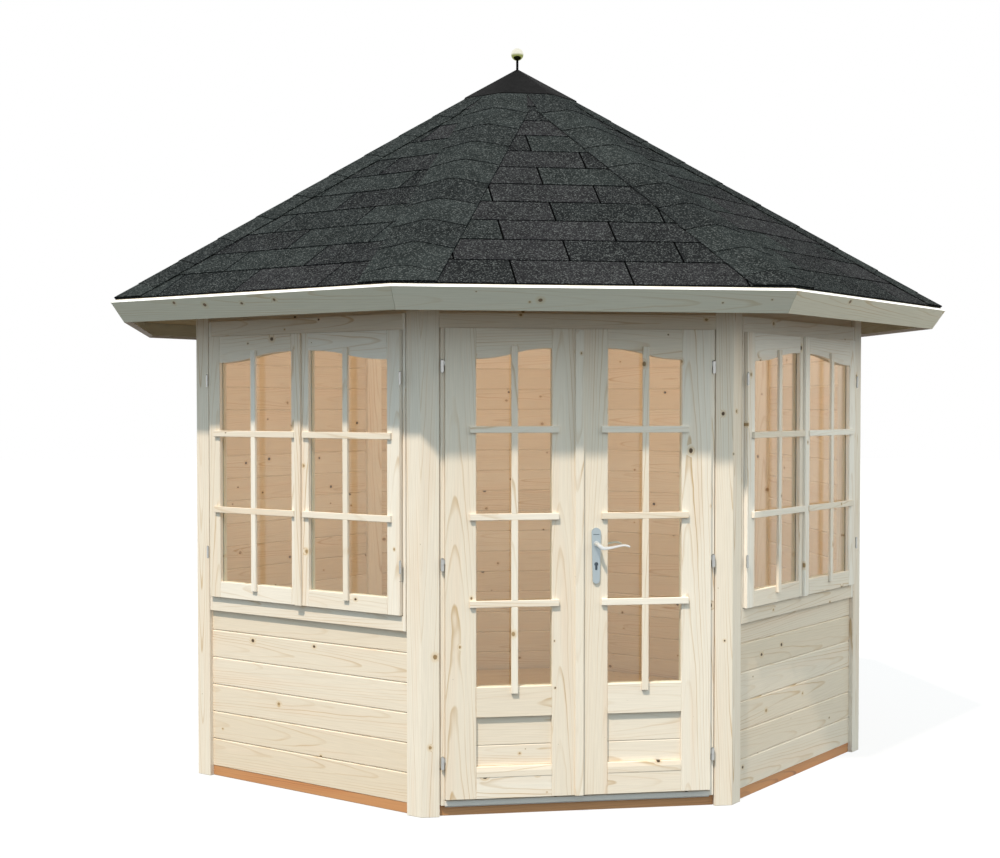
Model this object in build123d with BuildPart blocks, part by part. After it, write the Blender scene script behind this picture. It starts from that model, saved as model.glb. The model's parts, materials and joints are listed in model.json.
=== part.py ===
"""Octagonal timber summerhouse: glazed double doors, two glazed window walls, a hipped felt-shingle roof.

Millimetres. +Z is up, the origin is on the ground at the centre of the plan, and the doors face -Y.
"""

import math
import os

from build123d import *

# Plan
side_count = 8
leaf_reach = 528.0  # from the middle of a wall to the outer edge of a leaf: the plan grows with it
frame_face = 21.32  # what a door or window frame shows beside a leaf
post_face = 72.0  # visible width of a post on each of its two walls
post_depth = 62.0  # from the outer face into the room

# Base
bearer_height = 44.0
bearer_depth = 70.0
bearer_recess = 20.0  # behind the post faces
joist_count = 3
joist_width = 45.0
joist_inset = 27.0  # outer joists from the ends of the bearers that carry them
floor_thickness = 20.0
floor_clearance = 3.0

# Walls, from the roof boards down
wall_plate_height = 109.0
header_height = 160.0  # boards over the doors and windows
head_height = 64.0  # frame over a leaf
wall_recess = 18.0  # boards lie behind the post faces
wall_thickness = 28.0

# Leaves and sashes
leaf_thickness = 40.0
leaf_proud = 16.0  # in front of the post faces
top_rail_height = 71.0  # where the S-curved top rail is lowest
arch_rise = 42.0  # of that curve, from the outer stile to the meeting stile
rebate_width = 10.0
rebate_clearance = 2.0
shoulder_depth = 18.0  # from a leaf's outer face back to its glass
glass_thickness = 4.0
stop_width = 28.0  # what the frame stands behind a leaf
cover_strip_width = 33.5
cover_strip_thickness = 12.0
meeting_edge = 13.0  # right edge of the cover strips, from the middle of the wall

# Glazing bars
bar_width = 26.0
bar_depth = 12.0
bar_lap = 26.0  # of a cross bar on each stile
bar_tail = 27.0  # of an upright bar below the glass
bar_above = 8.0  # its head over the highest of the arch
door_bar_shares = (0.246, 0.503, 0.76)  # of the glass height, to each cross bar
sash_bar_shares = (0.317, 0.649)

# Doors
threshold_height = 19.0
threshold_upstand = 21.0  # of the stop behind the foot of the leaves
door_gap = 6.0  # between a leaf and its frame
meeting_gap = 4.0
door_stile = 120.0
door_glass_near = 111.0  # from the middle of the wall
bottom_rail_height = 124.0
bottom_rail_bevel = 3.0
door_panel_height = 193.0
door_panel_thickness = 16.0
lock_rail_height = 118.0
lock_rail_bevel = 4.0

# Door hinges
hinge_offset = 10.5  # axis outside the leaf's edge
hinge_out = 10.0  # axis in front of the post faces
hinge_radius = 7.5
hinge_tip_radius = 3.0
hinge_tip_height = 5.0
knuckle_height = 22.0
knuckle_gap = 0.5
hinge_pin_radius = 4.0
hinge_pin_height = 15.0
hinge_bore_extra = 2.0
hinge_plate_thickness = 3.0
hinge_plate_height = 16.0
hinge_height_shares = (0.078, 0.501, 0.922)  # of the leaf's height
running_clearance = 0.05

# Door handle
handle_height = 1055.0
handle_from_edge = 46.0  # pivot to the right leaf's meeting edge
handle_plate_height = 218.0
handle_plate_top_radius = 20.0
handle_plate_foot_radius = 15.0
handle_plate_thickness = 8.0
handle_plate_above = 62.0  # top of the plate above the pivot
spindle_radius = 4.5
spindle_hole_radius = 8.0
keyhole_radius = 6.5
keyhole_below = 82.0  # the pivot
keyhole_tail = 16.0
keyhole_tail_width = 8.0
lever_length = 126.0
lever_width = 11.0
lever_thickness = 11.0
lever_sag = 15.0  # belly of the wave, below the pivot
lever_belly_share = 0.18  # of the length, where the wave is lowest
lever_crest_shares = (0.75, 0.27)  # of the length and the sag, where it turns down again
lever_tip_share = 0.6  # of the sag, at the tip
lever_start = (0.3, -1)  # direction in which the lever leaves its neck
lever_neck_radius = 9.0
lever_neck_length = 38.0
lever_clearance = 0.5

# Windows
sill_height = 716.0  # underside of the window frame
sill_rail_height = 62.0
sash_gap = 3.0
sash_stile = 64.0
sash_glass_near = 48.0  # from the middle of the wall
sash_rail_height = 67.0

# Roof
roof_pitch = 32.6  # degrees
eave_across_flats = 3688.0  # over the fascia's outer top edges
eave_height = 2023.0  # of those edges
deck_thickness = 20.0
panel_gap = 2.0
fascia_width = 97.0
fascia_thickness = 20.0
fascia_gap = 1.0
shingle_thickness = 6.0
shingle_setback = 2.5  # behind the fascia's inner face
rafter_width = 44.0
rafter_depth = 80.0  # measured plumb
rafter_clearance = 0.3
king_across = 120.0
king_drop = 20.0  # below the rafters
cap_across = 532.0
cap_thickness = 2.0

# Finial
rod_radius = 6.5
rod_clearance = 0.5
rod_showing = 46.0
ball_radius = 30.0
ball_facets = 16  # the ball is turned from short flats

overrun = 200.0  # of every cut past its piece

# Worked-out sizes
turn = 360 / side_count
half = math.radians(turn / 2)
pitch = math.radians(roof_pitch)
bay = leaf_reach + frame_face  # half the clear width between two posts
half_side = bay + post_face
reach = half_side / math.tan(half)
eave_reach = eave_across_flats / 2
rise = math.tan(pitch)
ridge_height = eave_height + eave_reach * rise
wall_top = eave_height + (eave_reach - reach) * rise - deck_thickness / math.cos(pitch)
plate_bottom = wall_top - wall_plate_height
frame_top = plate_bottom - header_height
leaf_top = frame_top - head_height
arch_high = leaf_top - top_rail_height
arch_low = arch_high - arch_rise
leaf_back = leaf_proud - leaf_thickness
glass_front = leaf_proud - shoulder_depth
threshold_top = bearer_height + threshold_height
door_bottom = threshold_top + door_gap
door_panel_bottom = door_bottom + bottom_rail_height
door_panel_top = door_panel_bottom + door_panel_height
door_glass_bottom = door_panel_top + lock_rail_height
door_glass_far = leaf_reach - door_stile
sash_bottom = sill_height + sill_rail_height
sash_glass_bottom = sash_bottom + sash_rail_height
sash_glass_far = leaf_reach - sash_stile
front_plane = Plane(origin=(0, -reach, 0), x_dir=(1, 0, 0), z_dir=(0, -1, 0))


def plan_point(side, along, outward):
    """Plan place on a side: along it to the right seen from outside, and out from the centre."""
    angle = math.radians(side * turn)
    x = outward * math.sin(angle) + along * math.cos(angle)
    y = along * math.sin(angle) - outward * math.cos(angle)
    return (x, y)


def slope_plane(side, lift):
    """Plane of one roof slope, lifted from the boards' top along its normal."""
    x, y = plan_point(side, 0, 1)
    normal = Vector(x * math.sin(pitch), y * math.sin(pitch), math.cos(pitch))
    edge = Vector(x * eave_reach, y * eave_reach, eave_height)
    return Plane(origin=edge + normal * lift, z_dir=normal)


def eave_plane(side, depth):
    """Plane square to a slope at the eave, set back from the fascia's outer face."""
    x, y = plan_point(side, 0, 1)
    normal = Vector(x * math.cos(pitch), y * math.cos(pitch), -math.sin(pitch))
    edge = Vector(x * eave_reach, y * eave_reach, eave_height)
    return Plane(origin=edge - normal * depth, z_dir=normal)


def timber(left, right, low, high, back, front):
    """One square-edged timber of the front wall, its faces measured out from the post faces."""
    with BuildPart() as piece:
        with BuildSketch(front_plane.offset(back)):
            with Locations(((left + right) / 2, (low + high) / 2)):
                Rectangle(right - left, high - low)
        extrude(amount=front - back)
    return piece.part


def roof_slab(near, far, low, high, gap):
    """Layer of the front slope between two distances from the centre, mitred on its hips."""
    slack = gap / 2 / math.cos(half)
    corners = []
    for outward, hand in ((near, -1), (near, 1), (far, 1), (far, -1)):
        across = outward * math.tan(half) - slack
        corners.append(plan_point(0, hand * across, outward))
    with BuildPart() as piece:
        with BuildSketch():
            Polygon(*corners, align=None)
        extrude(amount=ridge_height + overrun)
        split(bisect_by=slope_plane(0, high), keep=Keep.BOTTOM)
        split(bisect_by=slope_plane(0, low), keep=Keep.TOP)
    return piece.part


def glass_outline(outer, inner, bottom, margin):
    """Outline of a glazed light: square at the foot, its top an S-curve of two arcs."""
    hand = 1 if outer > inner else -1
    far = outer + hand * margin
    near = inner - hand * margin
    low = arch_low + margin
    high = arch_high + margin
    middle = ((far + near) / 2, (low + high) / 2)
    with BuildSketch() as outline:
        with BuildLine():
            Polyline((far, low), (far, bottom - margin), (near, bottom - margin), (near, high))
            TangentArc((far, low), middle, tangent=(near - far, 0))
            TangentArc((near, high), middle, tangent=(far - near, 0))
        make_face()
    return outline.sketch


def panel_outline(outer, inner, margin):
    """Outline of a door's lower panel."""
    with BuildSketch() as outline:
        with Locations(((outer + inner) / 2, (door_panel_bottom + door_panel_top) / 2)):
            Rectangle(abs(outer - inner) + 2 * margin, door_panel_top - door_panel_bottom + 2 * margin)
    return outline.sketch


def framed_leaf(left, right, bottom, lights):
    """Stiles and rails of a leaf: each light is cut through, and rebated from the back."""
    with BuildPart() as leaf:
        with BuildSketch(front_plane.offset(leaf_back)):
            with Locations(((left + right) / 2, (bottom + leaf_top) / 2)):
                Rectangle(right - left, leaf_top - bottom)
            for light, sizes in lights:
                add(light(*sizes, 0), mode=Mode.SUBTRACT)
        extrude(amount=leaf_thickness)
        with BuildSketch(front_plane.offset(leaf_back)):
            for light, sizes in lights:
                add(light(*sizes, rebate_width))
        extrude(amount=leaf_thickness - shoulder_depth, mode=Mode.SUBTRACT)
    return leaf.part


def rail_bevel(outer, inner, top, bevel):
    """Wedge that bevels the upper front edge of a rail between two stiles."""
    front = -reach - leaf_proud
    with BuildPart() as wedge:
        with BuildSketch(Plane.YZ.offset(min(outer, inner))):
            Polygon(
                (front, top - bevel),
                (front + bevel, top),
                (front + bevel, top + bevel),
                (front - bevel, top + bevel),
                (front - bevel, top - bevel),
                align=None,
            )
        extrude(amount=abs(outer - inner))
    return wedge.part


def pane(light, sizes, thickness):
    """Sheet that lies against the shoulder of a light's rebate."""
    with BuildPart() as sheet:
        with BuildSketch(front_plane.offset(glass_front)):
            add(light(*sizes, rebate_width - rebate_clearance))
        extrude(amount=-thickness)
    return sheet.part


def glazing_bars(outer, inner, bottom, level_shares):
    """Lattice on the face of a leaf: one upright over the glass, and cross bars that end on the stiles."""
    hand = 1 if outer > inner else -1
    middle = (outer + inner) / 2
    ends = sorted((outer + hand * bar_lap, inner - hand * bar_lap))
    half_bar = bar_width / 2
    front = leaf_proud + bar_depth
    foot = bottom - bar_tail
    head = arch_high + bar_above
    with BuildPart() as bars:
        add(timber(middle - half_bar, middle + half_bar, foot, head, leaf_proud, front))
        for share in level_shares:
            level = bottom + share * (arch_high - bottom)
            add(timber(*ends, level - half_bar, level + half_bar, leaf_proud, front))
    return bars.part


# Base
with BuildPart() as base_bearers:
    with PolarLocations(0, side_count):
        add(timber(-bay, bay, 0, bearer_height, -bearer_recess - bearer_depth, -bearer_recess))

joist_reach = reach - bearer_recess - bearer_depth
joist_spacing = (2 * (bay - joist_inset) - joist_width) / (joist_count - 1)
with BuildPart() as floor_joists:
    with BuildSketch():
        with GridLocations(0, joist_spacing, 1, joist_count):
            Rectangle(2 * joist_reach, joist_width)
    extrude(amount=bearer_height)

floor_reach = reach - post_depth - floor_clearance
post_inside = bay * math.sin(half) + (reach - post_depth) * math.cos(half)
with BuildPart() as floor_deck:
    with BuildSketch(Plane.XY.offset(bearer_height)):
        RegularPolygon(floor_reach, side_count, major_radius=False, rotation=turn / 2)
        RegularPolygon(post_inside - floor_clearance, side_count, major_radius=False, mode=Mode.INTERSECT)
    extrude(amount=floor_thickness)


# Roof timbers
def underside(radius):
    """Height of the roof boards' underside on a hip."""
    return eave_height - deck_thickness / math.cos(pitch) + (eave_reach - radius * math.cos(half)) * rise


hip_plane = Plane(
    origin=(0, 0, 0),
    x_dir=(math.sin(half), -math.cos(half), 0),
    z_dir=(-math.cos(half), -math.sin(half), 0),
)


def hip_rafter(width):
    """Rafter under the hip to the right of the doors, its back bevelled to both slopes."""
    inner = king_across / 2
    outer = eave_reach / math.cos(half)
    with BuildPart() as rafter:
        with BuildSketch(hip_plane):
            Polygon(
                (inner, underside(inner) - rafter_depth),
                (outer, underside(outer) - rafter_depth),
                (outer, underside(outer)),
                (inner, underside(inner)),
                align=None,
            )
        extrude(amount=width / 2, both=True)
        for side in (0, 1):
            split(bisect_by=slope_plane(side, -deck_thickness), keep=Keep.BOTTOM)
            split(bisect_by=eave_plane(side, fascia_thickness), keep=Keep.BOTTOM)
    return rafter.part


with BuildPart() as hip_rafters:
    with PolarLocations(0, side_count):
        add(hip_rafter(rafter_width))

king_top = ridge_height - king_across / 2 * rise - deck_thickness / math.cos(pitch)
king_bottom = underside(king_across / 2) - rafter_depth - king_drop
with BuildPart() as king_block:
    with BuildSketch(Plane.XY.offset(king_bottom)):
        RegularPolygon(king_across / 2, side_count, major_radius=False)
    extrude(amount=king_top - king_bottom)

# Posts and walls
arris = plan_point(0, half_side, reach)
with BuildPart() as corner_post:
    with BuildSketch():
        Polygon(
            arris,
            plan_point(0, bay, reach),
            plan_point(0, bay, reach - post_depth),
            plan_point(1, -bay, reach - post_depth),
            plan_point(1, -bay, reach),
            align=None,
        )
    extrude(amount=ridge_height)
    for side in (0, 1):
        split(bisect_by=slope_plane(side, -deck_thickness), keep=Keep.BOTTOM)
    add(hip_rafter(rafter_width + 2 * rafter_clearance), mode=Mode.SUBTRACT)

with BuildPart() as corner_posts:
    with PolarLocations(0, side_count):
        add(corner_post.part)

with BuildPart() as wall_plate:
    add(timber(-bay, bay, plate_bottom, ridge_height, -post_depth, 0))
    split(bisect_by=slope_plane(0, -deck_thickness), keep=Keep.BOTTOM)

with BuildPart() as wall_plates:
    with PolarLocations(0, side_count):
        add(wall_plate.part)


def wall_boards(low, high):
    """Boarding between two posts."""
    return timber(-bay, bay, low, high, -wall_recess - wall_thickness, -wall_recess)


pieces = {}
plain_walls = {"right_wall": 2, "back_right_wall": 3, "back_wall": 4, "back_left_wall": 5, "left_wall": 6}
for name, side in plain_walls.items():
    with BuildPart() as wall:
        add(wall_boards(bearer_height, plate_bottom).rotate(Axis.Z, side * turn))
    pieces[name] = wall

window_sides = {"right_window": 1, "left_window": 7}
with BuildPart() as header_boards:
    for side in (0, *window_sides.values()):
        add(wall_boards(frame_top, plate_bottom).rotate(Axis.Z, side * turn))

# Windows
with BuildPart() as window_frame:
    add(timber(-bay, bay, sill_height, frame_top, -post_depth, 0))
    sash_reach = leaf_reach + sash_gap
    foot = sash_bottom - sash_gap
    head = leaf_top + sash_gap
    add(timber(-sash_reach, sash_reach, foot, head, leaf_back, overrun), mode=Mode.SUBTRACT)
    sash_stop = sash_reach - stop_width
    foot = foot + stop_width
    head = head - stop_width
    add(timber(-sash_stop, sash_stop, foot, head, -overrun, leaf_back), mode=Mode.SUBTRACT)

sash_sizes = {
    "left_sash": (-leaf_reach, -sash_gap / 2, -1),
    "right_sash": (sash_gap / 2, leaf_reach, 1),
}
for window, side in window_sides.items():
    with BuildPart() as frame:
        add(window_frame.part.rotate(Axis.Z, side * turn))
    pieces[f"{window}_frame"] = frame
    with BuildPart() as boards:
        add(wall_boards(bearer_height, sill_height).rotate(Axis.Z, side * turn))
    pieces[f"{window}_wall"] = boards
    with BuildPart() as glass:
        for name, (left, right, hand) in sash_sizes.items():
            light = (hand * sash_glass_far, hand * sash_glass_near, sash_glass_bottom)
            add(pane(glass_outline, light, glass_thickness).rotate(Axis.Z, side * turn))
    pieces[f"{window}_glass"] = glass
    with BuildPart() as bars:
        for name, (left, right, hand) in sash_sizes.items():
            light = (hand * sash_glass_far, hand * sash_glass_near, sash_glass_bottom)
            add(glazing_bars(*light, sash_bar_shares).rotate(Axis.Z, side * turn))
    pieces[f"{window}_bars"] = bars
    for name, (left, right, hand) in sash_sizes.items():
        light = (hand * sash_glass_far, hand * sash_glass_near, sash_glass_bottom)
        with BuildPart() as sash:
            add(framed_leaf(left, right, sash_bottom, [(glass_outline, light)]).rotate(Axis.Z, side * turn))
        pieces[f"{window}_{name}"] = sash


def cover_strip(bottom):
    """Strip that hides the meeting of two leaves."""
    strip_left = meeting_edge - cover_strip_width
    return timber(strip_left, meeting_edge, bottom, leaf_top, leaf_proud, leaf_proud + cover_strip_thickness)


with BuildPart() as window_cover_strips:
    for side in window_sides.values():
        add(cover_strip(sash_bottom).rotate(Axis.Z, side * turn))

# Door frame
jamb_inside = leaf_reach + door_gap
stop_inside = jamb_inside - stop_width
stop_front = leaf_back - door_gap
door_head_bottom = leaf_top + door_gap
for name, hand in (("door_left_jamb", -1), ("door_right_jamb", 1)):
    with BuildPart() as jamb:
        edges = sorted((hand * jamb_inside, hand * bay))
        add(timber(*edges, bearer_height, door_head_bottom, -post_depth, 0))
        edges = sorted((hand * stop_inside, hand * jamb_inside))
        add(timber(*edges, bearer_height, door_head_bottom, -post_depth, stop_front))
    pieces[name] = jamb

with BuildPart() as door_head:
    add(timber(-bay, bay, door_head_bottom, frame_top, -post_depth, 0))
    stop_bottom = door_head_bottom - stop_width
    add(timber(-stop_inside, stop_inside, stop_bottom, door_head_bottom, -post_depth, stop_front))

with BuildPart() as door_threshold:
    add(timber(-jamb_inside, jamb_inside, bearer_height, threshold_top, stop_front, 0))
    upstand_top = threshold_top + threshold_upstand
    add(timber(-stop_inside, stop_inside, bearer_height, upstand_top, -post_depth, stop_front))

# Door leaves
right_leaf_edge = meeting_edge + meeting_gap
pivot = right_leaf_edge + handle_from_edge
door_sizes = {"left_door": (-leaf_reach, meeting_edge, -1), "right_door": (right_leaf_edge, leaf_reach, 1)}
for name, (left, right, hand) in door_sizes.items():
    light = (hand * door_glass_far, hand * door_glass_near, door_glass_bottom)
    field = (hand * door_glass_far, hand * door_glass_near)
    with BuildPart() as leaf:
        add(framed_leaf(left, right, door_bottom, [(glass_outline, light), (panel_outline, field)]))
        add(rail_bevel(*field, door_panel_bottom, bottom_rail_bevel), mode=Mode.SUBTRACT)
        add(rail_bevel(*field, door_glass_bottom, lock_rail_bevel), mode=Mode.SUBTRACT)
        if left < pivot < right:
            with BuildSketch(front_plane.offset(leaf_proud + overrun)):
                with Locations((pivot, handle_height)):
                    Circle(spindle_hole_radius)
            extrude(amount=-2 * overrun, mode=Mode.SUBTRACT)
    pieces[f"{name}_leaf"] = leaf
    with BuildPart() as glass:
        add(pane(glass_outline, light, glass_thickness))
    pieces[f"{name}_glass"] = glass
    with BuildPart() as bars:
        add(glazing_bars(*light, door_bar_shares))
    pieces[f"{name}_bars"] = bars
    with BuildPart() as panel:
        add(pane(panel_outline, field, door_panel_thickness))
    pieces[f"{name}_panel"] = panel

with BuildPart() as door_cover_strip:
    add(cover_strip(door_bottom))

# Door hinges
hinge_reach = leaf_reach + hinge_offset
hinge_heights = [door_bottom + share * (leaf_top - door_bottom) for share in hinge_height_shares]
hinge_y = -reach - hinge_out
standing = (Align.CENTER, Align.CENTER, Align.MIN)


def frame_knuckle(hand, height):
    """Lower knuckle with its pin, on a flat plate that stands on the jamb's face."""
    axis = (hand * hinge_reach, hinge_y)
    with BuildPart() as knuckle:
        with BuildSketch(Plane.XY.offset(height - knuckle_height)):
            with Locations(axis):
                Circle(hinge_radius)
        extrude(amount=knuckle_height)
        with BuildSketch(Plane.XY.offset(height)):
            with Locations(axis):
                Circle(hinge_pin_radius)
        extrude(amount=hinge_pin_height)
        with Locations((*axis, height - knuckle_height - hinge_tip_height)):
            Cone(hinge_tip_radius, hinge_radius, hinge_tip_height, align=standing)
        with BuildSketch(front_plane):
            with Locations((hand * hinge_reach, height - knuckle_height / 2)):
                Rectangle(hinge_plate_thickness, hinge_plate_height)
        extrude(amount=hinge_out)
    return knuckle.part


def leaf_knuckle(hand, height):
    """Upper knuckle, bored for the pin, on a flat plate that stands on the leaf's edge."""
    axis = (hand * hinge_reach, hinge_y)
    plate_middle = (hand * leaf_reach, hinge_y, height + knuckle_gap + knuckle_height / 2)
    with BuildPart() as knuckle:
        with BuildSketch(Plane.XY.offset(height + knuckle_gap)):
            with Locations(axis):
                Circle(hinge_radius)
        extrude(amount=knuckle_height)
        with Locations((*axis, height + knuckle_gap + knuckle_height)):
            Cone(hinge_radius, hinge_tip_radius, hinge_tip_height, align=standing)
        with BuildSketch(Plane(origin=plate_middle, x_dir=(0, 1, 0), z_dir=(hand, 0, 0))):
            Rectangle(hinge_plate_thickness, hinge_plate_height)
        extrude(amount=hinge_offset)
        with BuildSketch(Plane.XY.offset(height)):
            with Locations(axis):
                Circle(hinge_pin_radius + running_clearance)
        extrude(amount=hinge_pin_height + hinge_bore_extra, mode=Mode.SUBTRACT)
    return knuckle.part


with BuildPart() as door_hinge_pins:
    for hand in (-1, 1):
        for height in hinge_heights:
            add(frame_knuckle(hand, height))

for name, hand in (("left_door_hinges", -1), ("right_door_hinges", 1)):
    with BuildPart() as knuckles:
        for height in hinge_heights:
            add(leaf_knuckle(hand, height))
    pieces[name] = knuckles

# Door handle
plate_top = handle_height + handle_plate_above
plate_ends = (
    (plate_top - handle_plate_top_radius, handle_plate_top_radius),
    (plate_top - handle_plate_height + handle_plate_foot_radius, handle_plate_foot_radius),
)
keyhole_height = handle_height - keyhole_below
leaf_faces = ((leaf_proud, 1), (leaf_back, -1))
with BuildPart() as handle_plates:
    for face, direction in leaf_faces:
        with BuildSketch(front_plane.offset(face)):
            for height, radius in plate_ends:
                with Locations((pivot, height)):
                    Circle(radius)
            make_hull()
            with Locations((pivot, handle_height)):
                Circle(spindle_radius + running_clearance, mode=Mode.SUBTRACT)
            with Locations((pivot, keyhole_height)):
                Circle(keyhole_radius, mode=Mode.SUBTRACT)
            with Locations((pivot, keyhole_height - keyhole_tail / 2)):
                SlotCenterToCenter(keyhole_tail, keyhole_tail_width, rotation=90, mode=Mode.SUBTRACT)
        extrude(amount=direction * handle_plate_thickness)

belly = (pivot + lever_belly_share * lever_length, handle_height - lever_sag)
crest_along, crest_down = lever_crest_shares
crest = (pivot + crest_along * lever_length, handle_height - crest_down * lever_sag)
lever_end = (pivot + lever_length - lever_width / 2, handle_height - lever_tip_share * lever_sag)
with BuildSketch() as lever_outline:
    with BuildLine():
        root = TangentArc((pivot, handle_height), belly, tangent=lever_start)
        grip = TangentArc(belly, crest, tangent=root % 1)
        TangentArc(crest, lever_end, tangent=grip % 1)
    trace(line_width=lever_width)
    for centre, radius in (((pivot, handle_height), lever_neck_radius), (lever_end, lever_width / 2)):
        with Locations(centre):
            Circle(radius)

with BuildPart() as door_handle:
    for face, direction in leaf_faces:
        neck_start = face + direction * (handle_plate_thickness + lever_clearance)
        with BuildSketch(front_plane.offset(neck_start)):
            with Locations((pivot, handle_height)):
                Circle(lever_neck_radius)
        extrude(amount=direction * lever_neck_length)
        with BuildSketch(front_plane.offset(neck_start + direction * lever_neck_length)):
            add(lever_outline.sketch)
        extrude(amount=direction * lever_thickness)
    outside = leaf_proud + handle_plate_thickness + lever_clearance
    inside = leaf_back - handle_plate_thickness - lever_clearance
    with BuildSketch(front_plane.offset(inside)):
        with Locations((pivot, handle_height)):
            Circle(spindle_radius)
    extrude(amount=outside - inside)

# Roof
panel_start = king_across / 2 / math.cos(half) + panel_gap
with BuildPart() as roof_panel:
    add(roof_slab(panel_start, eave_reach, -deck_thickness, 0, panel_gap))
    split(bisect_by=eave_plane(0, fascia_thickness), keep=Keep.BOTTOM)

with BuildPart() as roof_panels:
    with PolarLocations(0, side_count):
        add(roof_panel.part)

with BuildPart() as fascia_board:
    add(roof_slab(reach, eave_reach + overrun, -fascia_width, 0, fascia_gap))
    split(bisect_by=eave_plane(0, 0), keep=Keep.BOTTOM)
    split(bisect_by=eave_plane(0, fascia_thickness), keep=Keep.TOP)

with BuildPart() as fascia_boards:
    with PolarLocations(0, side_count):
        add(fascia_board.part)

with BuildPart() as shingle_slope:
    add(roof_slab(panel_start, eave_reach, 0, shingle_thickness, 0))
    split(bisect_by=eave_plane(0, fascia_thickness + shingle_setback), keep=Keep.BOTTOM)

with BuildPart() as roof_shingles:
    with PolarLocations(0, side_count):
        add(shingle_slope.part)

cap_lift = shingle_thickness + cap_thickness
with BuildPart() as roof_cap:
    with PolarLocations(0, side_count):
        add(roof_slab(rod_radius + rod_clearance, cap_across / 2, shingle_thickness, cap_lift, 0))

ball_centre = ridge_height + cap_lift / math.cos(pitch) + rod_showing + ball_radius
with BuildPart() as finial:
    with BuildSketch(Plane.XZ):
        with Locations((0, ball_centre)):
            RegularPolygon(ball_radius, ball_facets)
        with Locations((0, (king_top + ball_centre) / 2)):
            Rectangle(2 * rod_radius, ball_centre - king_top)
        split(bisect_by=Plane.YZ)
    revolve(axis=Axis.Z)

pieces.update(
    base_bearers=base_bearers,
    floor_joists=floor_joists,
    floor_deck=floor_deck,
    corner_posts=corner_posts,
    header_boards=header_boards,
    wall_plates=wall_plates,
    door_head=door_head,
    door_threshold=door_threshold,
    window_cover_strips=window_cover_strips,
    door_cover_strip=door_cover_strip,
    door_hinge_pins=door_hinge_pins,
    handle_plates=handle_plates,
    door_handle=door_handle,
    hip_rafters=hip_rafters,
    king_block=king_block,
    roof_panels=roof_panels,
    fascia_boards=fascia_boards,
    roof_shingles=roof_shingles,
    roof_cap=roof_cap,
    finial=finial,
)

os.makedirs("parts", exist_ok=True)
for name, piece in pieces.items():
    piece.part.label = name
    export_step(piece.part, f"parts/{name}.step")
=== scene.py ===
# %% [markdown]
# # A garden gazebo in planed spruce
# The gazebo is an eight-sided summerhouse: posts at the corners, board walls, a glazed double door
# between two window walls, and a felt shingle roof that rises to a brass ball. Its solids come from a
# CAD model in true size, but bare: one slab for a wall, one shell for the shingles. This lesson cuts
# those slabs into the boards, bars and shingles that a joiner and a roofer would fit.

import json
import math
import random

import bmesh
import bpy
from mathutils import Matrix, Vector
from mathutils.geometry import tessellate_polygon


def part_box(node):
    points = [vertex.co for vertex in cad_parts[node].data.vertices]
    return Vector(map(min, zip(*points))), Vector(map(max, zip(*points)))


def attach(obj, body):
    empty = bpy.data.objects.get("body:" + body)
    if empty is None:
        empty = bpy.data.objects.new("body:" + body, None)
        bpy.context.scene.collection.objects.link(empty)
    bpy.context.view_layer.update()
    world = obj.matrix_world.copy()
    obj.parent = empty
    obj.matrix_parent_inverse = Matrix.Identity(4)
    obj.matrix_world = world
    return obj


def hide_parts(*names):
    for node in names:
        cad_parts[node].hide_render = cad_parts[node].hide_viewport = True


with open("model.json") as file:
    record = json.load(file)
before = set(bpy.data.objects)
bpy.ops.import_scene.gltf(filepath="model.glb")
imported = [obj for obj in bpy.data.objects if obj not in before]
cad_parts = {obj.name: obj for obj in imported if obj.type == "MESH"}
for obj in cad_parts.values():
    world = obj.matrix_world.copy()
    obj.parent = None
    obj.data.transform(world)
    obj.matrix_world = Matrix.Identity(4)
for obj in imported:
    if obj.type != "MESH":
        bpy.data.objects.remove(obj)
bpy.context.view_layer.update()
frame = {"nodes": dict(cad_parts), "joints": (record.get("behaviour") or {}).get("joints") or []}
nodes = frame["nodes"]
chance = random.Random(11)
mm = 0.001
print(f"{len(nodes)} solids loaded")

# %% [markdown]
# ## The sizes that everything hangs from
# Nothing here is placed by eye where the solids can say it. A wall is read in its own terms: how far
# along it, how far up, and how far out from the faces of the posts. The roof has the same three: along
# the eave, up the slope, and off the slope. One matrix per wall or slope then carries a board to its
# side of the octagon.

# %% Read the sizes and set up the eight sides
side_count = 8
turn = math.tau / side_count
half = turn / 2
front, right_front, left_front = 0, 1, 7
windows = {"left_window": left_front, "right_window": right_front}
leaves = {"left_door": -1, "right_door": 1}
plain_walls = {"right_wall": 2, "back_right_wall": 3, "back_wall": 4, "back_left_wall": 5, "left_wall": 6}

reach = -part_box("corner_posts")[0].y
back_low, back_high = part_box("back_wall")
bay = back_high.x
boards_out = back_high.y - reach
boards_in = back_low.y - reach
boards_foot = back_low.z
boards_top = back_high.z

eave = min(nodes["fascia_boards"].data.vertices, key=lambda vertex: vertex.co.y).co
eave_reach = -eave.y
eave_height = eave.z
pitch = math.acos(max(face.normal.z for face in nodes["roof_cap"].data.polygons))


def wall_place(side, hand=1):
    """Along, up and out on one wall, to the world; hand -1 mirrors what is built along the wall."""
    basis = Matrix(((hand, 0, 0, 0), (0, 0, -1, -reach), (0, 1, 0, 0), (0, 0, 0, 1)))
    return Matrix.Rotation(side * turn, 4, "Z") @ basis


def slope_place(side):
    """Along the eave, up the slope and off the slope, to the world."""
    eave_line = Matrix.Translation((0, -eave_reach, eave_height))
    return Matrix.Rotation(side * turn, 4, "Z") @ eave_line @ Matrix.Rotation(pitch, 4, "X")


def hip(up, off=0.0):
    """How far the slope runs along at this height, from its middle to the hip."""
    return (eave_reach - up * math.cos(pitch) + off * math.sin(pitch)) * math.tan(half)


def wall_points(solid, side, hand=1):
    """The corners of a solid in the terms of its wall: along, up, out."""
    back = wall_place(side, hand).inverted()
    return [back @ vertex.co for vertex in nodes[solid].data.vertices]


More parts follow.
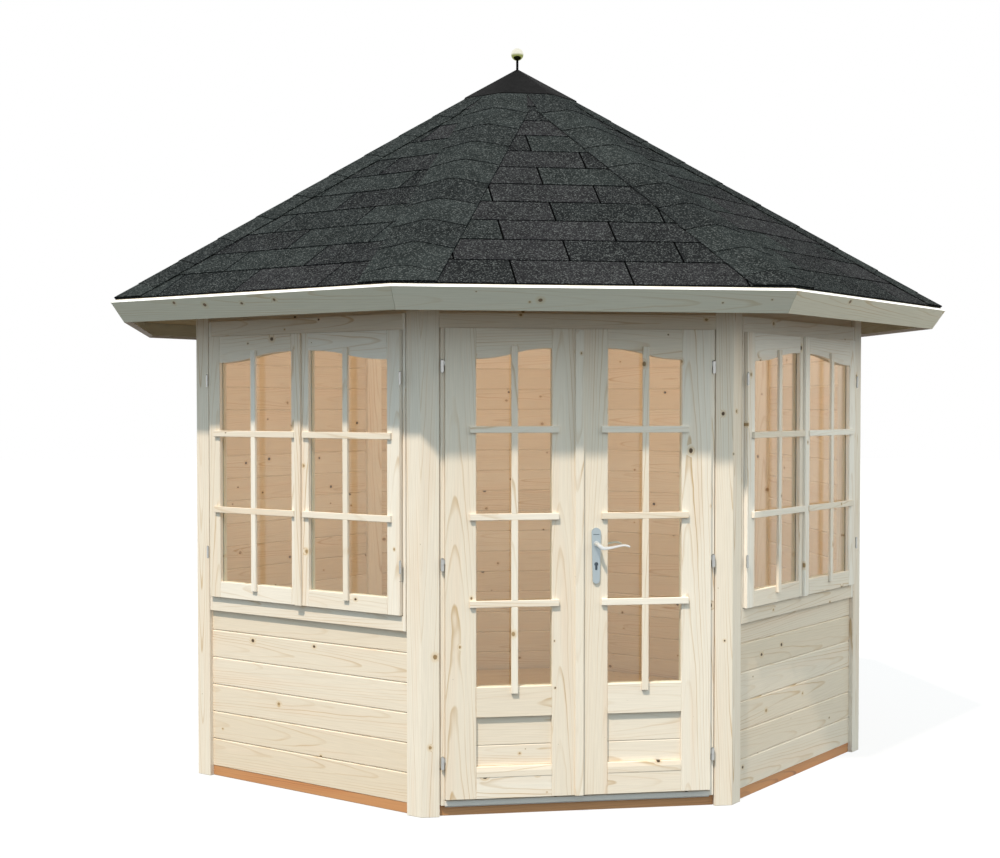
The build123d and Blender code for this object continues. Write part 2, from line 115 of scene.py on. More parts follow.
def wall_box(solid, side, hand=1):
    """The box of a solid in the terms of its wall."""
    points = wall_points(solid, side, hand)
    return Vector(map(min, zip(*points))), Vector(map(max, zip(*points)))


def levels(solid, side, axis):
    """The steps of a solid in one direction of its wall, in rising order."""
    return sorted({round(getattr(point, axis), 5) for point in wall_points(solid, side)})


print(f"posts {reach:.3f} m from the middle, eave {eave_reach:.3f} m out and {eave_height:.3f} m up")

# %% [markdown]
# ## Colours and nodes
# A colour on a screen is written in sRGB, while the renderer counts in linear light, so one function
# turns a hex colour into linear values. A second one adds a shader node with its settings and its links,
# so that the materials below read as a list of what each node is given.

# %% Two helpers for materials
def linear(colour):
    """An sRGB hex colour as linear red, green, blue and alpha."""
    shares = [int(colour[at:at + 2], 16) / 255 for at in (1, 3, 5)]
    light = [share / 12.92 if share < 0.04045 else ((share + 0.055) / 1.055) ** 2.4 for share in shares]
    return light + [1.0]


def node(tree, kind, inputs=None, **settings):
    """A shader node with its settings; each input is a value or the socket it is linked from."""
    made = tree.nodes.new("ShaderNode" + kind)
    for name, value in settings.items():
        setattr(made, name, value)
    for key, value in (inputs or {}).items():
        if isinstance(value, bpy.types.NodeSocket):
            tree.links.new(value, made.inputs[key])
        else:
            made.inputs[key].default_value = value
    return made


def empty_tree(owner):
    """The node tree of a material or a world, cleared."""
    owner.use_nodes = True
    owner.node_tree.nodes.clear()
    return owner.node_tree


def new_finish(name):
    """An empty material with a principled surface wired to its output."""
    material = bpy.data.materials.new(name)
    tree = empty_tree(material)
    surface = node(tree, "BsdfPrincipled")
    node(tree, "OutputMaterial", {"Surface": surface.outputs[0]})
    return material, tree, surface


finishes = {}
print("helpers ready")

# %% [markdown]
# ## Planed timber
# A board shows its rings as lines because a flat saw cut runs through a tree that grew in rings. So the
# pattern is not painted on the face: it is the distance from the pith of the tree, cut into rings, and
# every face of a board shows its own section through it. Each board carries its own stretch of a tree in
# an attribute named grain (along, across, through, in metres) and its own shade in one named tone. The
# rings are drawn about 9 mm apart, twice the real spacing, or they would vanish at this distance. Good
# and bad years draw strong and faint rings. The taper of the log and a slow wander of its pith turn
# straight lines into pointed arches.

# %% Planed spruce, brown impregnated timber and floor boards
ring_gap = 9 * mm
ring_drift = 18 * mm
drift_length = 420 * mm
drift_width = 150 * mm
blush_length = 700 * mm
blush_width = 55 * mm
fibre_length = 120 * mm
fibre_width = 3.5 * mm
knot_along = 185 * mm
knot_across = 150 * mm
knot_size = 0.06
no_knot = 0.0001
knot_ripple = 0.03
log_taper = 0.03


def planed_timber(name, pale, deep, rings, blush, knots, halo, knot_share, edges=None):
    """Sawn and planed softwood: ring lines, a drift of colour, fine fibre, and knots that turn the grain."""
    material, tree, surface = new_finish(name)
    place = node(tree, "Attribute", attribute_name="grain").outputs["Vector"]
    tone = node(tree, "Attribute", attribute_name="tone").outputs["Fac"]
    parts = node(tree, "SeparateXYZ", {0: place})
    along, across, through = parts.outputs[0], parts.outputs[1], parts.outputs[2]

    sizes = [(knot_along, knot_across, math.inf), (drift_length, drift_width, drift_width),
             (blush_length, blush_width, blush_width), (fibre_length, fibre_width, fibre_width)]
    cells, slow, broad, fine = (
        node(tree, "VectorMath", {0: place, 1: [1 / size for size in ways]}, operation="MULTIPLY").outputs[0]
        for ways in sizes)

    knot = node(tree, "TexVoronoi", {"Vector": cells, "Scale": 1.0}, voronoi_dimensions="2D")
    lots = node(tree, "SeparateColor", {0: knot.outputs["Color"]})
    least = 1 - knot_share
    size = node(tree, "MapRange", {0: lots.outputs[0], 1: least, 3: no_knot, 4: knot_size}).outputs[0]
    sound = node(tree, "MapRange", {0: lots.outputs[1], 1: 0.45, 2: 0.75}).outputs[0]
    ripple = node(tree, "TexNoise", {"Vector": cells, "Scale": 9.0}).outputs[0]
    offset = node(tree, "Math", {0: ripple, 1: knot_ripple, 2: -knot_ripple / 2},
                  operation="MULTIPLY_ADD").outputs[0]
    away = node(tree, "Math", {0: knot.outputs["Distance"], 1: offset}).outputs[0]
    radii = node(tree, "Math", {0: away, 1: size}, operation="DIVIDE").outputs[0]
    core = node(tree, "MapRange", {0: radii, 1: 1.0, 2: 0.7}).outputs[0]
    ring = node(tree, "MapRange", {0: radii, 1: 2.6, 2: 0.9}, interpolation_type="SMOOTHSTEP").outputs[0]

    flat = node(tree, "CombineXYZ", {0: across, 1: through}).outputs[0]
    pith = node(tree, "VectorMath", {0: flat}, operation="LENGTH").outputs["Value"]
    drift = node(tree, "TexNoise", {"Vector": slow, "Scale": 1.0, "Detail": 3.0}).outputs[0]
    wandering = node(tree, "Math", {0: drift, 1: ring_drift, 2: pith}, operation="MULTIPLY_ADD").outputs[0]
    swerving = node(tree, "Math", {0: ring, 1: ring_gap, 2: wandering}, operation="MULTIPLY_ADD").outputs[0]
    leaning = node(tree, "Math", {0: along, 1: log_taper, 2: swerving}, operation="MULTIPLY_ADD").outputs[0]
    count = node(tree, "Math", {0: leaning, 1: 1 / ring_gap}, operation="MULTIPLY").outputs[0]
    year = node(tree, "Math", {0: count}, operation="FRACT").outputs[0]
    which = node(tree, "Math", {0: count}, operation="FLOOR").outputs[0]
    growth = node(tree, "TexWhiteNoise", {"W": which}, noise_dimensions="1D").outputs["Value"]
    strong = node(tree, "MapRange", {0: growth, 3: 0.1, 4: 1.0}).outputs[0]
    rise = node(tree, "MapRange", {0: year, 1: 0.7, 2: 0.94}, interpolation_type="SMOOTHSTEP").outputs[0]
    fall = node(tree, "MapRange", {0: year, 1: 1.0, 2: 0.94}).outputs[0]
    late = node(tree, "Math", {0: rise, 1: fall}, operation="MULTIPLY").outputs[0]
    line = node(tree, "Math", {0: late, 1: strong}, operation="MULTIPLY").outputs[0]

    patch = node(tree, "TexNoise", {"Vector": broad, "Scale": 1.0, "Detail": 1.0}).outputs[0]
    bold = node(tree, "MapRange", {0: patch, 1: 0.36, 2: 0.66, 3: 0.2, 4: 1.0}).outputs[0]
    drawn = node(tree, "Math", {0: line, 1: bold}, operation="MULTIPLY").outputs[0]
    flush = node(tree, "MapRange", {0: patch, 1: 0.5, 2: 0.75, 3: 0.0, 4: 0.55}).outputs[0]
    fibre = node(tree, "TexNoise", {"Vector": fine, "Scale": 1.0, "Detail": 1.0}).outputs[0]

    around = node(tree, "Math", {0: ring, 1: 0.5}, operation="MULTIPLY").outputs[0]
    eye = node(tree, "Mix", {0: sound, 6: linear(knots), 7: linear(rings)}, data_type="RGBA").outputs[2]
    eye = node(tree, "Mix", {0: 0.35, 6: eye, 7: linear(knots)}, data_type="RGBA").outputs[2]
    wood = linear(pale)
    for share, colour in ((tone, linear(deep)), (flush, linear(blush)), (drawn, linear(rings)),
                          (around, linear(halo)), (core, eye)):
        wood = node(tree, "Mix", {0: share, 6: wood, 7: colour}, data_type="RGBA").outputs[2]
    bright = node(tree, "MapRange", {0: fibre, 1: 0.25, 2: 0.75, 3: 0.95, 4: 1.04}).outputs[0]
    wood = node(tree, "HueSaturation", {"Color": wood, "Value": bright}).outputs[0]
    # Painted shade and highlight: faces that look down take the first of the edges colours, faces that look
    # up the second.
    if edges:
        facing = node(tree, "SeparateXYZ", {0: node(tree, "NewGeometry").outputs["Normal"]}).outputs[2]
        for way, colour in zip((-1, 1), edges):
            turned = node(tree, "MapRange", {0: facing, 1: 0.6 * way, 2: 0.75 * way}).outputs[0]
            wood = node(tree, "Mix", {0: turned, 6: wood, 7: linear(colour)}, data_type="RGBA").outputs[2]
    tree.links.new(wood, surface.inputs["Base Color"])
    gloss = node(tree, "MapRange", {0: line, 3: 0.62, 4: 0.5}).outputs[0]
    tree.links.new(gloss, surface.inputs["Roughness"])
    relief = node(tree, "Bump", {"Height": fibre, "Strength": 0.25, "Distance": 0.3 * mm}).outputs[0]
    tree.links.new(relief, surface.inputs["Normal"])
    return material


# Fresh planed spruce: cream with honey lines, and the small dark knots that catch the eye first.
finishes["spruce"] = planed_timber(
    "planed spruce", "#F6F0E8", "#E3D4C0", "#C2A274", "#EBD8C5", "#46331F", "#D9BD93", 0.42)
# The same at the eave, with painted shade: greyer and cooler all over for the shade of the eave, a painted
# brown shade on the lower edge of the fascia, and a painted white highlight on its upper edge, in full sun.
finishes["eave_spruce_painted_shade"] = planed_timber(
    "planed spruce with painted eave shade and highlight", "#EBF0ED", "#D9D4C4", "#B9A277", "#E0D8C9", "#6A553E", "#CFBD99",
    0.42, edges=("#78644C", "#FAFCFF"))
# Roof boards: the same spruce made browner and darker, a painted shade for the soffit under the eave.
finishes["soffit_spruce_painted_shade"] = planed_timber(
    "spruce in painted soffit shade", "#D3C0A4", "#CDB898", "#AE8F62", "#CDB492", "#46331F", "#B99A6C", 0.42)
# Pressure-impregnated bearers: the brown salt darkens the wood and flattens its lines.
finishes["treated_timber"] = planed_timber(
    "brown impregnated timber", "#D6A274", "#BF8455", "#8A5A38", "#C27E50", "#4A2E1C", "#9A6A44", 0.5)
# Floor boards: the same spruce, a little yellower where feet have polished it.
finishes["floor_boards"] = planed_timber(
    "trodden spruce floor", "#DECDB1", "#D4BE9B", "#BB9A6C", "#D6BC99", "#4A3120", "#C9A878", 0.4)
print("timber finishes made")

# %% [markdown]
# ## Felt, sheet, metal and glass
# Felt shingles are bitumen pressed full of crushed slate: dull, nearly black, and speckled grain by
# grain. Every shingle comes from its own batch, so its tone leans to green, plum or plain grey. A tone
# below nought makes a near-black: in open joints it is partly bare bitumen and partly painted shade, and
# under the edges of strips and caps it is a painted shadow. The metals differ by how sharply they mirror:
# polished brass most, anodised aluminium less, zinc least. Glass is drawn thin: it lets light straight
# through and only mirrors more at a slant, as a single pane does.

# %% The other finishes
granule = 4 * mm
patch_size = 120 * mm
spangle = 4 * mm
brushing = 1.2 * mm


def mineral_felt(name, dark, green, plum, fleck, bitumen_and_painted_shade_colour):
    """Bitumen felt under crushed slate: a tone for each shingle, pale flecks, and a rough, dull skin."""
    material, tree, surface = new_finish(name)
    place = node(tree, "Attribute", attribute_name="grain").outputs["Vector"]
    tone = node(tree, "Attribute", attribute_name="tone").outputs["Fac"]
    lean = node(tree, "MapRange", {0: tone, 1: 0.4, 2: 0.8}).outputs[0]
    back = node(tree, "MapRange", {0: tone, 1: 0.45, 2: 0.15}).outputs[0]
    # A tone below nought turns the felt near-black: partly bare bitumen in the joints, partly painted shade
    # and shadow.
    bitumen_and_painted_shade_share = node(tree, "MapRange", {0: tone, 1: -0.4, 2: -0.6}).outputs[0]
    felt = linear(dark)
    for share, colour in ((lean, green), (back, plum)):
        felt = node(tree, "Mix", {0: share, 6: felt, 7: linear(colour)}, data_type="RGBA").outputs[2]
    patch = node(tree, "TexNoise", {"Vector": place, "Scale": 1 / patch_size, "Detail": 3.0}).outputs[0]
    cloud = node(tree, "MapRange", {0: patch, 1: 0.3, 2: 0.7, 3: 0.75, 4: 1.25}).outputs[0]
    grains = node(tree, "TexVoronoi", {"Vector": place, "Scale": 1 / granule})
    lot = node(tree, "SeparateColor", {0: grains.outputs["Color"]}).outputs[0]
    grit = node(tree, "MapRange", {0: lot, 3: 0.62, 4: 1.3}).outputs[0]
    shade = node(tree, "Math", {0: cloud, 1: grit}, operation="MULTIPLY").outputs[0]
    pale = node(tree, "MapRange", {0: lot, 1: 0.75, 2: 1.0, 3: 0.0, 4: 0.72}).outputs[0]
    felt = node(tree, "HueSaturation", {"Color": felt, "Value": shade}).outputs[0]
    for share, colour in ((pale, fleck), (bitumen_and_painted_shade_share, bitumen_and_painted_shade_colour)):
        felt = node(tree, "Mix", {0: share, 6: felt, 7: linear(colour)}, data_type="RGBA").outputs[2]
    tree.links.new(felt, surface.inputs["Base Color"])
    relief = node(tree, "Bump", {"Height": lot, "Strength": 0.5, "Distance": 1.0 * mm}).outputs[0]
    tree.links.new(relief, surface.inputs["Normal"])
    surface.inputs["Roughness"].default_value = 0.92
    surface.inputs["Specular IOR Level"].default_value = 0.0
    return material


def metal(name, colour, rough, vary, grain_size, shine=1.0, under=None):
    """Metal that mirrors more or less sharply from spot to spot; the colour given for below is a painted
    reflection on its lower faces.
    """
    material, tree, surface = new_finish(name)
    place = node(tree, "TexCoord").outputs["Object"]
    spots = node(tree, "TexNoise", {"Vector": place, "Scale": 1 / grain_size, "Detail": 2.0}).outputs[0]
    gloss = node(tree, "MapRange", {0: spots, 1: 0.3, 2: 0.7, 3: rough - vary, 4: rough + vary}).outputs[0]
    bright = node(tree, "MapRange", {0: spots, 1: 0.3, 2: 0.7, 3: 0.92, 4: 1.06}).outputs[0]
    skin = linear(colour)
    # Painted reflection: faces that look down turn to the colour given for below.
    if under:
        facing = node(tree, "SeparateXYZ", {0: node(tree, "NewGeometry").outputs["Normal"]}).outputs[2]
        low = node(tree, "MapRange", {0: facing, 1: 0.1, 2: -0.25}).outputs[0]
        skin = node(tree, "Mix", {0: low, 6: skin, 7: linear(under)}, data_type="RGBA").outputs[2]
    skin = node(tree, "HueSaturation", {"Color": skin, "Value": bright}).outputs[0]
    tree.links.new(skin, surface.inputs["Base Color"])
    tree.links.new(gloss, surface.inputs["Roughness"])
    surface.inputs["Metallic"].default_value = shine
    surface.inputs["Specular IOR Level"].default_value = 0.5 if shine else 0.12
    return material


def thin_glass(name, tint):
    """One clear pane: straight through, with a mirror that grows at a slant."""
    material = bpy.data.materials.new(name)
    tree = empty_tree(material)
    through = node(tree, "BsdfTransparent", {"Color": linear(tint)}).outputs[0]
    mirror = node(tree, "BsdfGlossy", {"Roughness": 0.02}).outputs[0]
    facing = node(tree, "LayerWeight", {"Blend": 0.5}).outputs["Facing"]
    steep = node(tree, "Math", {0: facing, 1: 5.0}, operation="POWER").outputs[0]
    slant = node(tree, "Math", {0: steep, 1: 0.94, 2: 0.06}, operation="MULTIPLY_ADD").outputs[0]
    pane = node(tree, "MixShader", {0: slant, 1: through, 2: mirror}).outputs[0]
    node(tree, "OutputMaterial", {"Surface": pane})
    return material


# Slate-coated felt: the speckle keeps a large dark roof from reading as flat paint.
# Its last colour, near-black, is bare bitumen in the joints and a painted shadow under the edges.
finishes["felt_shingle"] = mineral_felt(
    "slate-coated felt", "#202224", "#2A2E2F", "#2A2A2D", "#646869", "#060707")
# Black coated sheet: smoother than the felt round it, so it reads as a cap and not as one more shingle.
finishes["black_sheet"] = metal("black coated steel sheet", "#0F0F10", 0.85, 0.06, 30 * mm, shine=0.0)
# Polished brass with a painted reflection: a near-white top and a dark olive foot, set by which way each
# face looks.
finishes["brass"] = metal("polished brass", "#F3F1E0", 0.16, 0.03, 12 * mm, under="#8A8F55")
# Zinc plating is grey and cloudy: small hinges stay quiet against the wood.
finishes["zinc_steel"] = metal("zinc-plated steel", "#BBBDBC", 0.42, 0.08, spangle)
# Anodised aluminium is pale and satin, the brightest metal on the door.
finishes["handle_metal"] = metal("anodised aluminium", "#E6E8EA", 0.3, 0.05, brushing, shine=0.55)
# Brushed aluminium: a greyer, bluer plate, so that the lever stands out from it.
finishes["handle_plate"] = metal("brushed aluminium", "#AFBCC4", 0.38, 0.05, brushing, shine=0.55)
# Matt aluminium: a pale strip without grain, which parts the doors from the bearer below. Its near-white is
# partly its own colour and partly a painted light, which keeps it pale in the shade under the doors.
finishes["drip_strip"] = metal("matt aluminium strip with painted light", "#EAE4DF", 0.6, 0.05, brushing, shine=0.0)
# Dark steel: a painted shade, so that the keyhole reads as a hole.
finishes["lock_painted_shade"] = metal("dark steel in painted keyhole shade", "#59646C", 0.5, 0.05, brushing)
# Clear float glass: hardly any tint, so the room shows, with a white mirror only at a slant.
finishes["glass"] = thin_glass("clear float glass", "#F4F8F5")
print(f"{len(finishes)} finishes in all")

# %% [markdown]
# ## From outline to board
# Nearly every piece here is a prism: an outline pushed along its third direction. A rail is a small
# outline pushed a long way, an arched rail is a long outline pushed a little. Blender could make each
# from a cube with loop cuts, but then a hundred boards would be a hundred objects. A pile gathers prisms
# in one mesh, gives each its own stretch of grain, and lets its ends be slanted by a function, so a
# mitre needs no cutting.

# %% The pile of boards
pith_side = 45 * mm
pith_depth = (15 * mm, 90 * mm)
log_length = 60.0
arris = math.radians(50)
crease = math.radians(35)
plain_tones = (0.0, 0.7)
# Deep tones are a painted shade: they tone down the sunlit walls and darken the timbers under the eave.
deep_tones = (0.6, 1.0)
no_grain = (Vector(), 0.0)
bitumen_and_painted_shade_log = (Vector(), -1.0)


def piece(name, mesh, slot, body, *replaced, finish=None, soften=0.0, segments=2, sharp=crease):
    """A mesh as an object of the scene, with its finish, sharp folds, soft arrises and body; the slot only
    names the finish to use when none is given.
    """
    bmesh.ops.recalc_face_normals(mesh, faces=mesh.faces)
    data = bpy.data.meshes.new(name)
    mesh.to_mesh(data)
    mesh.free()
    if sharp:
        data.set_sharp_from_angle(angle=sharp)
    data.materials.append(finishes[finish or slot])
    made = bpy.data.objects.new(name, data)
    bpy.context.scene.collection.objects.link(made)
    if soften:
        bevel = made.modifiers.new("soft arrises", "BEVEL")
        bevel.width = soften
        bevel.segments = segments
        bevel.limit_method = "ANGLE"
        bevel.angle_limit = arris
    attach(made, body)
    if replaced:
        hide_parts(*replaced)
    print(f"{name}: {len(data.polygons)} faces")


def wrap(mesh, rings, smooth=False, ends=True):
    """A skin from each ring of points to the next, closed at both ends."""
    for below, above in zip(rings, rings[1:]):
        for index in range(len(below)):
            face = mesh.faces.new((below[index - 1], below[index], above[index], above[index - 1]))
            face.smooth = smooth
    if ends:
        mesh.faces.new(rings[0])
        mesh.faces.new(rings[-1])


class Pile:
    """Prisms gathered in one mesh, each with its own stretch of grain and its own tone."""

    def __init__(self, tones=plain_tones):
        self.tones = tones
        self.mesh = bmesh.new()
        self.grain = self.mesh.verts.layers.float_vector.new("grain")
        self.tone = self.mesh.verts.layers.float.new("tone")

    def log(self):
        """A stretch of a new tree: where its pith lies, and how deep its colour is."""
        start = chance.uniform(0, log_length)
        aside = chance.uniform(-pith_side, pith_side)
        depth = chance.uniform(*pith_depth)
        return Vector((start, aside, depth)), chance.uniform(*self.tones)

    def corner(self, place, local, grain, log):
        """One corner of a prism, which knows where in its tree it lies."""
        vert = self.mesh.verts.new(place @ Vector(local))
        vert[self.grain] = Vector(grain) + log[0]
        vert[self.tone] = log[1]
        return vert

    def add(self, lay, outline, place, low, high, along="p", log=None):
        """A prism. The letters of lay say which way each direction lies: p along, z up, o out."""
        log = log or self.log()
        across = "z" if along == "p" else "p"
        ends = []
        for end in (low, high):
            thirds = [end(*point) if callable(end) else end for point in outline]
            ends.append([dict(zip(lay, (*point, third))) for point, third in zip(outline, thirds)])
        spread = [at[across] for at in ends[0]]
        heart = (min(spread) + max(spread)) / 2
        rings = []
        for end in ends:
            ring = []
            for at in end:
                grain = (at[along], at[across] - heart, at["o"])
                ring.append(self.corner(place, (at["p"], at["z"], at["o"]), grain, log))
            rings.append(ring)
        wrap(self.mesh, rings)

    def make(self, name, slot, body, *replaced, finish=None, soften=1.2 * mm, segments=1):
        """The pile as one flat-faced piece."""
        piece(name, self.mesh, slot, body, *replaced, finish=finish, soften=soften, segments=segments,
              sharp=None)


def box_outline(low, high, near, far):
    """A rectangle as an outline."""
    return [(low, near), (high, near), (high, far), (low, far)]


print("boards can be cut")

# %% [markdown]
# ## Timbers whose solid is already right
# Posts, plates, rafters, bearers and fascia boards have their true shape in the CAD model, mitres and
# all. They need grain and softened arrises. The triangles of the solid are welded and its flat faces
# made whole again, so that a bevel runs along real arrises. The longest edge of each loose part is the
# way its grain runs. The hip rafters end at the posts here, because the eave is closed by a plain
# soffit.

# %% Dress the squared timbers
weld = 0.02 * mm
flatness = math.radians(1)
end_grain = 0.3
post_tones = (0.2, 0.7)
# The fascia takes the deepest tones: a painted shade under the eave.
eave_painted_shade_tones = (0.85, 1.0)
rafter_inset = 9 * mm


def loose_parts(mesh):
    """The corners of a mesh, part by part."""
    mesh.verts.index_update()
    seen = set()
    for start in mesh.verts:
        if start.index in seen:
            continue
        seen.add(start.index)
        part = [start]
        for vert in part:
            for edge in vert.link_edges:
                other = edge.other_vert(vert)
                if other.index not in seen:
                    seen.add(other.index)
                    part.append(other)
        yield part


def whole_faces(solid, tones):
    """A pile that holds a solid with its triangles joined into flat faces."""
    pile = Pile(tones)
    mesh = pile.mesh
    corners = [mesh.verts.new(vertex.co) for vertex in nodes[solid].data.vertices]
    for face in nodes[solid].data.polygons:
        mesh.faces.new([corners[index] for index in face.vertices])
    bmesh.ops.remove_doubles(mesh, verts=mesh.verts, dist=weld)
    bmesh.ops.dissolve_limit(mesh, angle_limit=flatness, verts=mesh.verts, edges=mesh.edges)
    mesh.normal_update()
    return pile


def dress(solid, slot, body="house", finish=None, soften=2 * mm, tones=plain_tones, limit=None):
    """A copy of a solid with grain along each of its parts, which may end at a limit from the middle."""
    pile = whole_faces(solid, tones)
    for part in loose_parts(pile.mesh):
        shift, tone = pile.log()
        edges = [edge for vert in part for edge in vert.link_edges]
        longest = max(edges, key=lambda edge: edge.calc_length())
        along = (longest.verts[1].co - longest.verts[0].co).normalized()
        faces = [face for vert in part for face in vert.link_faces]
        faces = [face for face in faces if abs(face.normal.dot(along)) < end_grain]
        through = max(faces, key=lambda face: face.calc_area()).normal.copy()
        across = through.cross(along)
        middle = sum((vert.co for vert in part), Vector()) / len(part)
        for vert in part:
            past = vert.co.xy.length - limit if limit else 0
            if past > 0:
                vert.co -= along * past / along.xy.dot(vert.co.xy.normalized())
            away = vert.co - middle
            vert[pile.grain] = Vector((away.dot(along), away.dot(across), away.dot(through))) + shift
            vert[pile.tone] = tone
    pile.make(solid + "_timber", slot, body, solid, finish=finish, soften=soften, segments=2)


dress("corner_posts", "spruce", tones=post_tones)
dress("door_head", "spruce", tones=deep_tones)
dress("window_cover_strips", "spruce")
for solid in ("wall_plates", "king_block"):
    dress(solid, "spruce", tones=deep_tones)
dress("hip_rafters", "spruce", tones=deep_tones, limit=reach / math.cos(half) - rafter_inset)
dress("fascia_boards", "spruce", finish="eave_spruce_painted_shade", soften=0.3 * mm, tones=eave_painted_shade_tones)
for solid in ("base_bearers", "floor_joists"):
    dress(solid, "treated_timber", soften=3 * mm)
dress("door_cover_strip", "spruce", "left_door")

# %% [markdown]
# ## Door frame
# The jambs close the joint beside each leaf but for a sliver, and a groove parts them from the posts:
# that groove is the fine dark line down both sides of the doors. The threshold lies between them, with a
# stop at its back. A strip of aluminium covers its front, folds back under it and hangs down, so that
# rain drips clear of the bearer.

# %% Make the jambs and the threshold
leaf_play = 0.7 * mm
frame_groove = (4.5 * mm, 12 * mm)
drip_hang = 8 * mm
drip_fold = 10 * mm
drip_sheet = 1.5 * mm


def frame_upright(inner, outer, stop_edge, stop_back, stop_face, face):
    """Section of a frame's upright, along and out: a stop behind, and in front a groove beside the post."""
    wide, deep = frame_groove
    behind = [(outer, stop_back), (stop_edge, stop_back), (stop_edge, stop_face), (inner, stop_face)]
    return behind + [(inner, face), (outer - wide, face), (outer - wide, face - deep), (outer, face - deep)]


leaf_edge = wall_box("right_door_leaf", front)[1].x + leaf_play
jamb_low, jamb_high = wall_box("door_right_jamb", front)
stop_face = levels("door_right_jamb", front, "z")[1]
upright = frame_upright(leaf_edge, jamb_high.x, jamb_low.x, jamb_low.z, stop_face, jamb_high.z)
for name, hand in {"door_left_jamb": -1, "door_right_jamb": 1}.items():
    jamb = Pile()
    jamb.add("poz", upright, wall_place(front, hand), jamb_low.y, jamb_high.y, along="z")
    jamb.make(name + "_timber", "spruce", "house", name)

sill_low, sill_high = wall_box("door_threshold", front)
tread, upstand_head = levels("door_threshold", front, "y")[1:3]
sill = Pile()
step = box_outline(sill_low.y, tread, stop_face, sill_high.z)
sill.add("zop", step, wall_place(front), -leaf_edge, leaf_edge)
upstand = box_outline(sill_low.y, upstand_head, sill_low.z, stop_face)
sill.add("zop", upstand, wall_place(front), -jamb_low.x, jamb_low.x)
sill.make("door_threshold_timber", "spruce", "house", "door_threshold", soften=2 * mm)

drip_face = sill_high.z + drip_sheet
drip_under = sill_low.y - drip_sheet
drip_back = sill_high.z - drip_fold
drip_foot = sill_low.y - drip_hang
folded = [(tread - drip_sheet, sill_high.z), (tread - drip_sheet, drip_face), (drip_under, drip_face)]
folded += [(drip_under, drip_back + drip_sheet), (drip_foot, drip_back + drip_sheet), (drip_foot, drip_back)]
folded += [(sill_low.y, drip_back), (sill_low.y, sill_high.z)]
drip = Pile()
drip.add("zop", folded, wall_place(front), -leaf_edge, leaf_edge, log=no_grain)
drip.make("threshold_drip_strip", "handle_metal", "house", finish="drip_strip", soften=0.5 * mm)

# %% [markdown]
# ## Board walls
# The walls are matchboard, laid from the bearer up: each board is about 117 mm high, and its edges are
# planed off so that two boards meet in a small V. The upper edge is planed off more, which is the bright
# line under each dark joint. The boards touch behind the V, so no light comes through. The boards over
# the doors and windows keep the courses of the walls, cut where the frame begins.

# %% Lay the wall boards
board_pitch = 117.4 * mm
least_board = 5 * mm
course_play = 0.01
upper_bevel = 6 * mm
lower_bevel = 3 * mm
inner_bevel = 5 * mm
board_edge = 0.6 * mm
# Boards over the doors and windows take the deepest tones: a painted shade under the eave.
header_painted_shade_tones = (0.9, 1.0)


def board_profile(low, high, cut_low, cut_high):
    """Section of one board, up and out, with its edges planed off where another board meets it."""
    below = 0 if cut_low else lower_bevel
    above = 0 if cut_high else upper_bevel
    inside_low = 0 if cut_low else inner_bevel
    inside_high = 0 if cut_high else inner_bevel
    outline = [(low, boards_in + inside_low), (low + inside_low, boards_in)]
    outline += [(high - inside_high, boards_in), (high, boards_in + inside_high)]
    outline += [(high, boards_out - above), (high - above, boards_out)]
    outline += [(low + below, boards_out), (low, boards_out - below)]
    return [point for index, point in enumerate(outline) if point != outline[index - 1]]


def lay_boards(pile, side, low, high):
    """Boards of one wall from low to high, on the courses that start at the bearer."""
    course = math.floor((low - boards_foot) / board_pitch + course_play)
    while boards_foot + course * board_pitch < high - least_board:
        foot = boards_foot + course * board_pitch
        head = foot + board_pitch
        profile = board_profile(max(foot, low), min(head, high), foot < low or course == 0, head > high)
        pile.add("zop", profile, wall_place(side), -bay, bay)
        course += 1


wall_tops = {wall: (side, boards_top) for wall, side in plain_walls.items()}
for window, side in windows.items():
    wall_tops[window + "_wall"] = side, wall_box(window + "_wall", side)[1].y
for wall, (side, top) in wall_tops.items():
    walling = Pile(deep_tones)
    lay_boards(walling, side, boards_foot, top)
    walling.make(wall + "_boards", "spruce", "house", wall, soften=board_edge)
headers = Pile(header_painted_shade_tones)
for side in (left_front, front, right_front):
    lay_boards(headers, side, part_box("header_boards")[0].z, boards_top)
headers.make("header_wall_boards", "spruce", "house", "header_boards", soften=board_edge)

# %% [markdown]
# ## Roof boards and floor
# Under the shingles lies a skin of boards parallel to the eave, seen from below as the soffit and from
# inside as the ceiling. Their ends are slanted to the hips, which is one function of the height on the
# slope. The floor boards are plain rectangles clipped to the sixteen-sided outline of the floor, one
# straight cut at a time: keep the points on the inner side, and add a point where an edge crosses the
# cut.

# %% Lay the roof boards and the floor boards
roof_pitch = 96 * mm
least_roof_board = 10 * mm
# Roof boards all take the deepest tone: a painted shade in the soffit.
soffit_painted_shade_tones = (1.0, 1.0)
groove = 4 * mm
panel_gap = 1 * mm
floor_pitch = 110 * mm


def clip(outline, inside):
    """The part of a convex outline where inside, a linear measure, is not negative."""
    kept = []
    for index, point in enumerate(outline):
        before = outline[index - 1]
        here, there = inside(*point), inside(*before)
        if here * there < 0:
            share = there / (there - here)
            kept.append(tuple(a + (b - a) * share for a, b in zip(before, point)))
        if here >= 0:
            kept.append(point)
    return kept


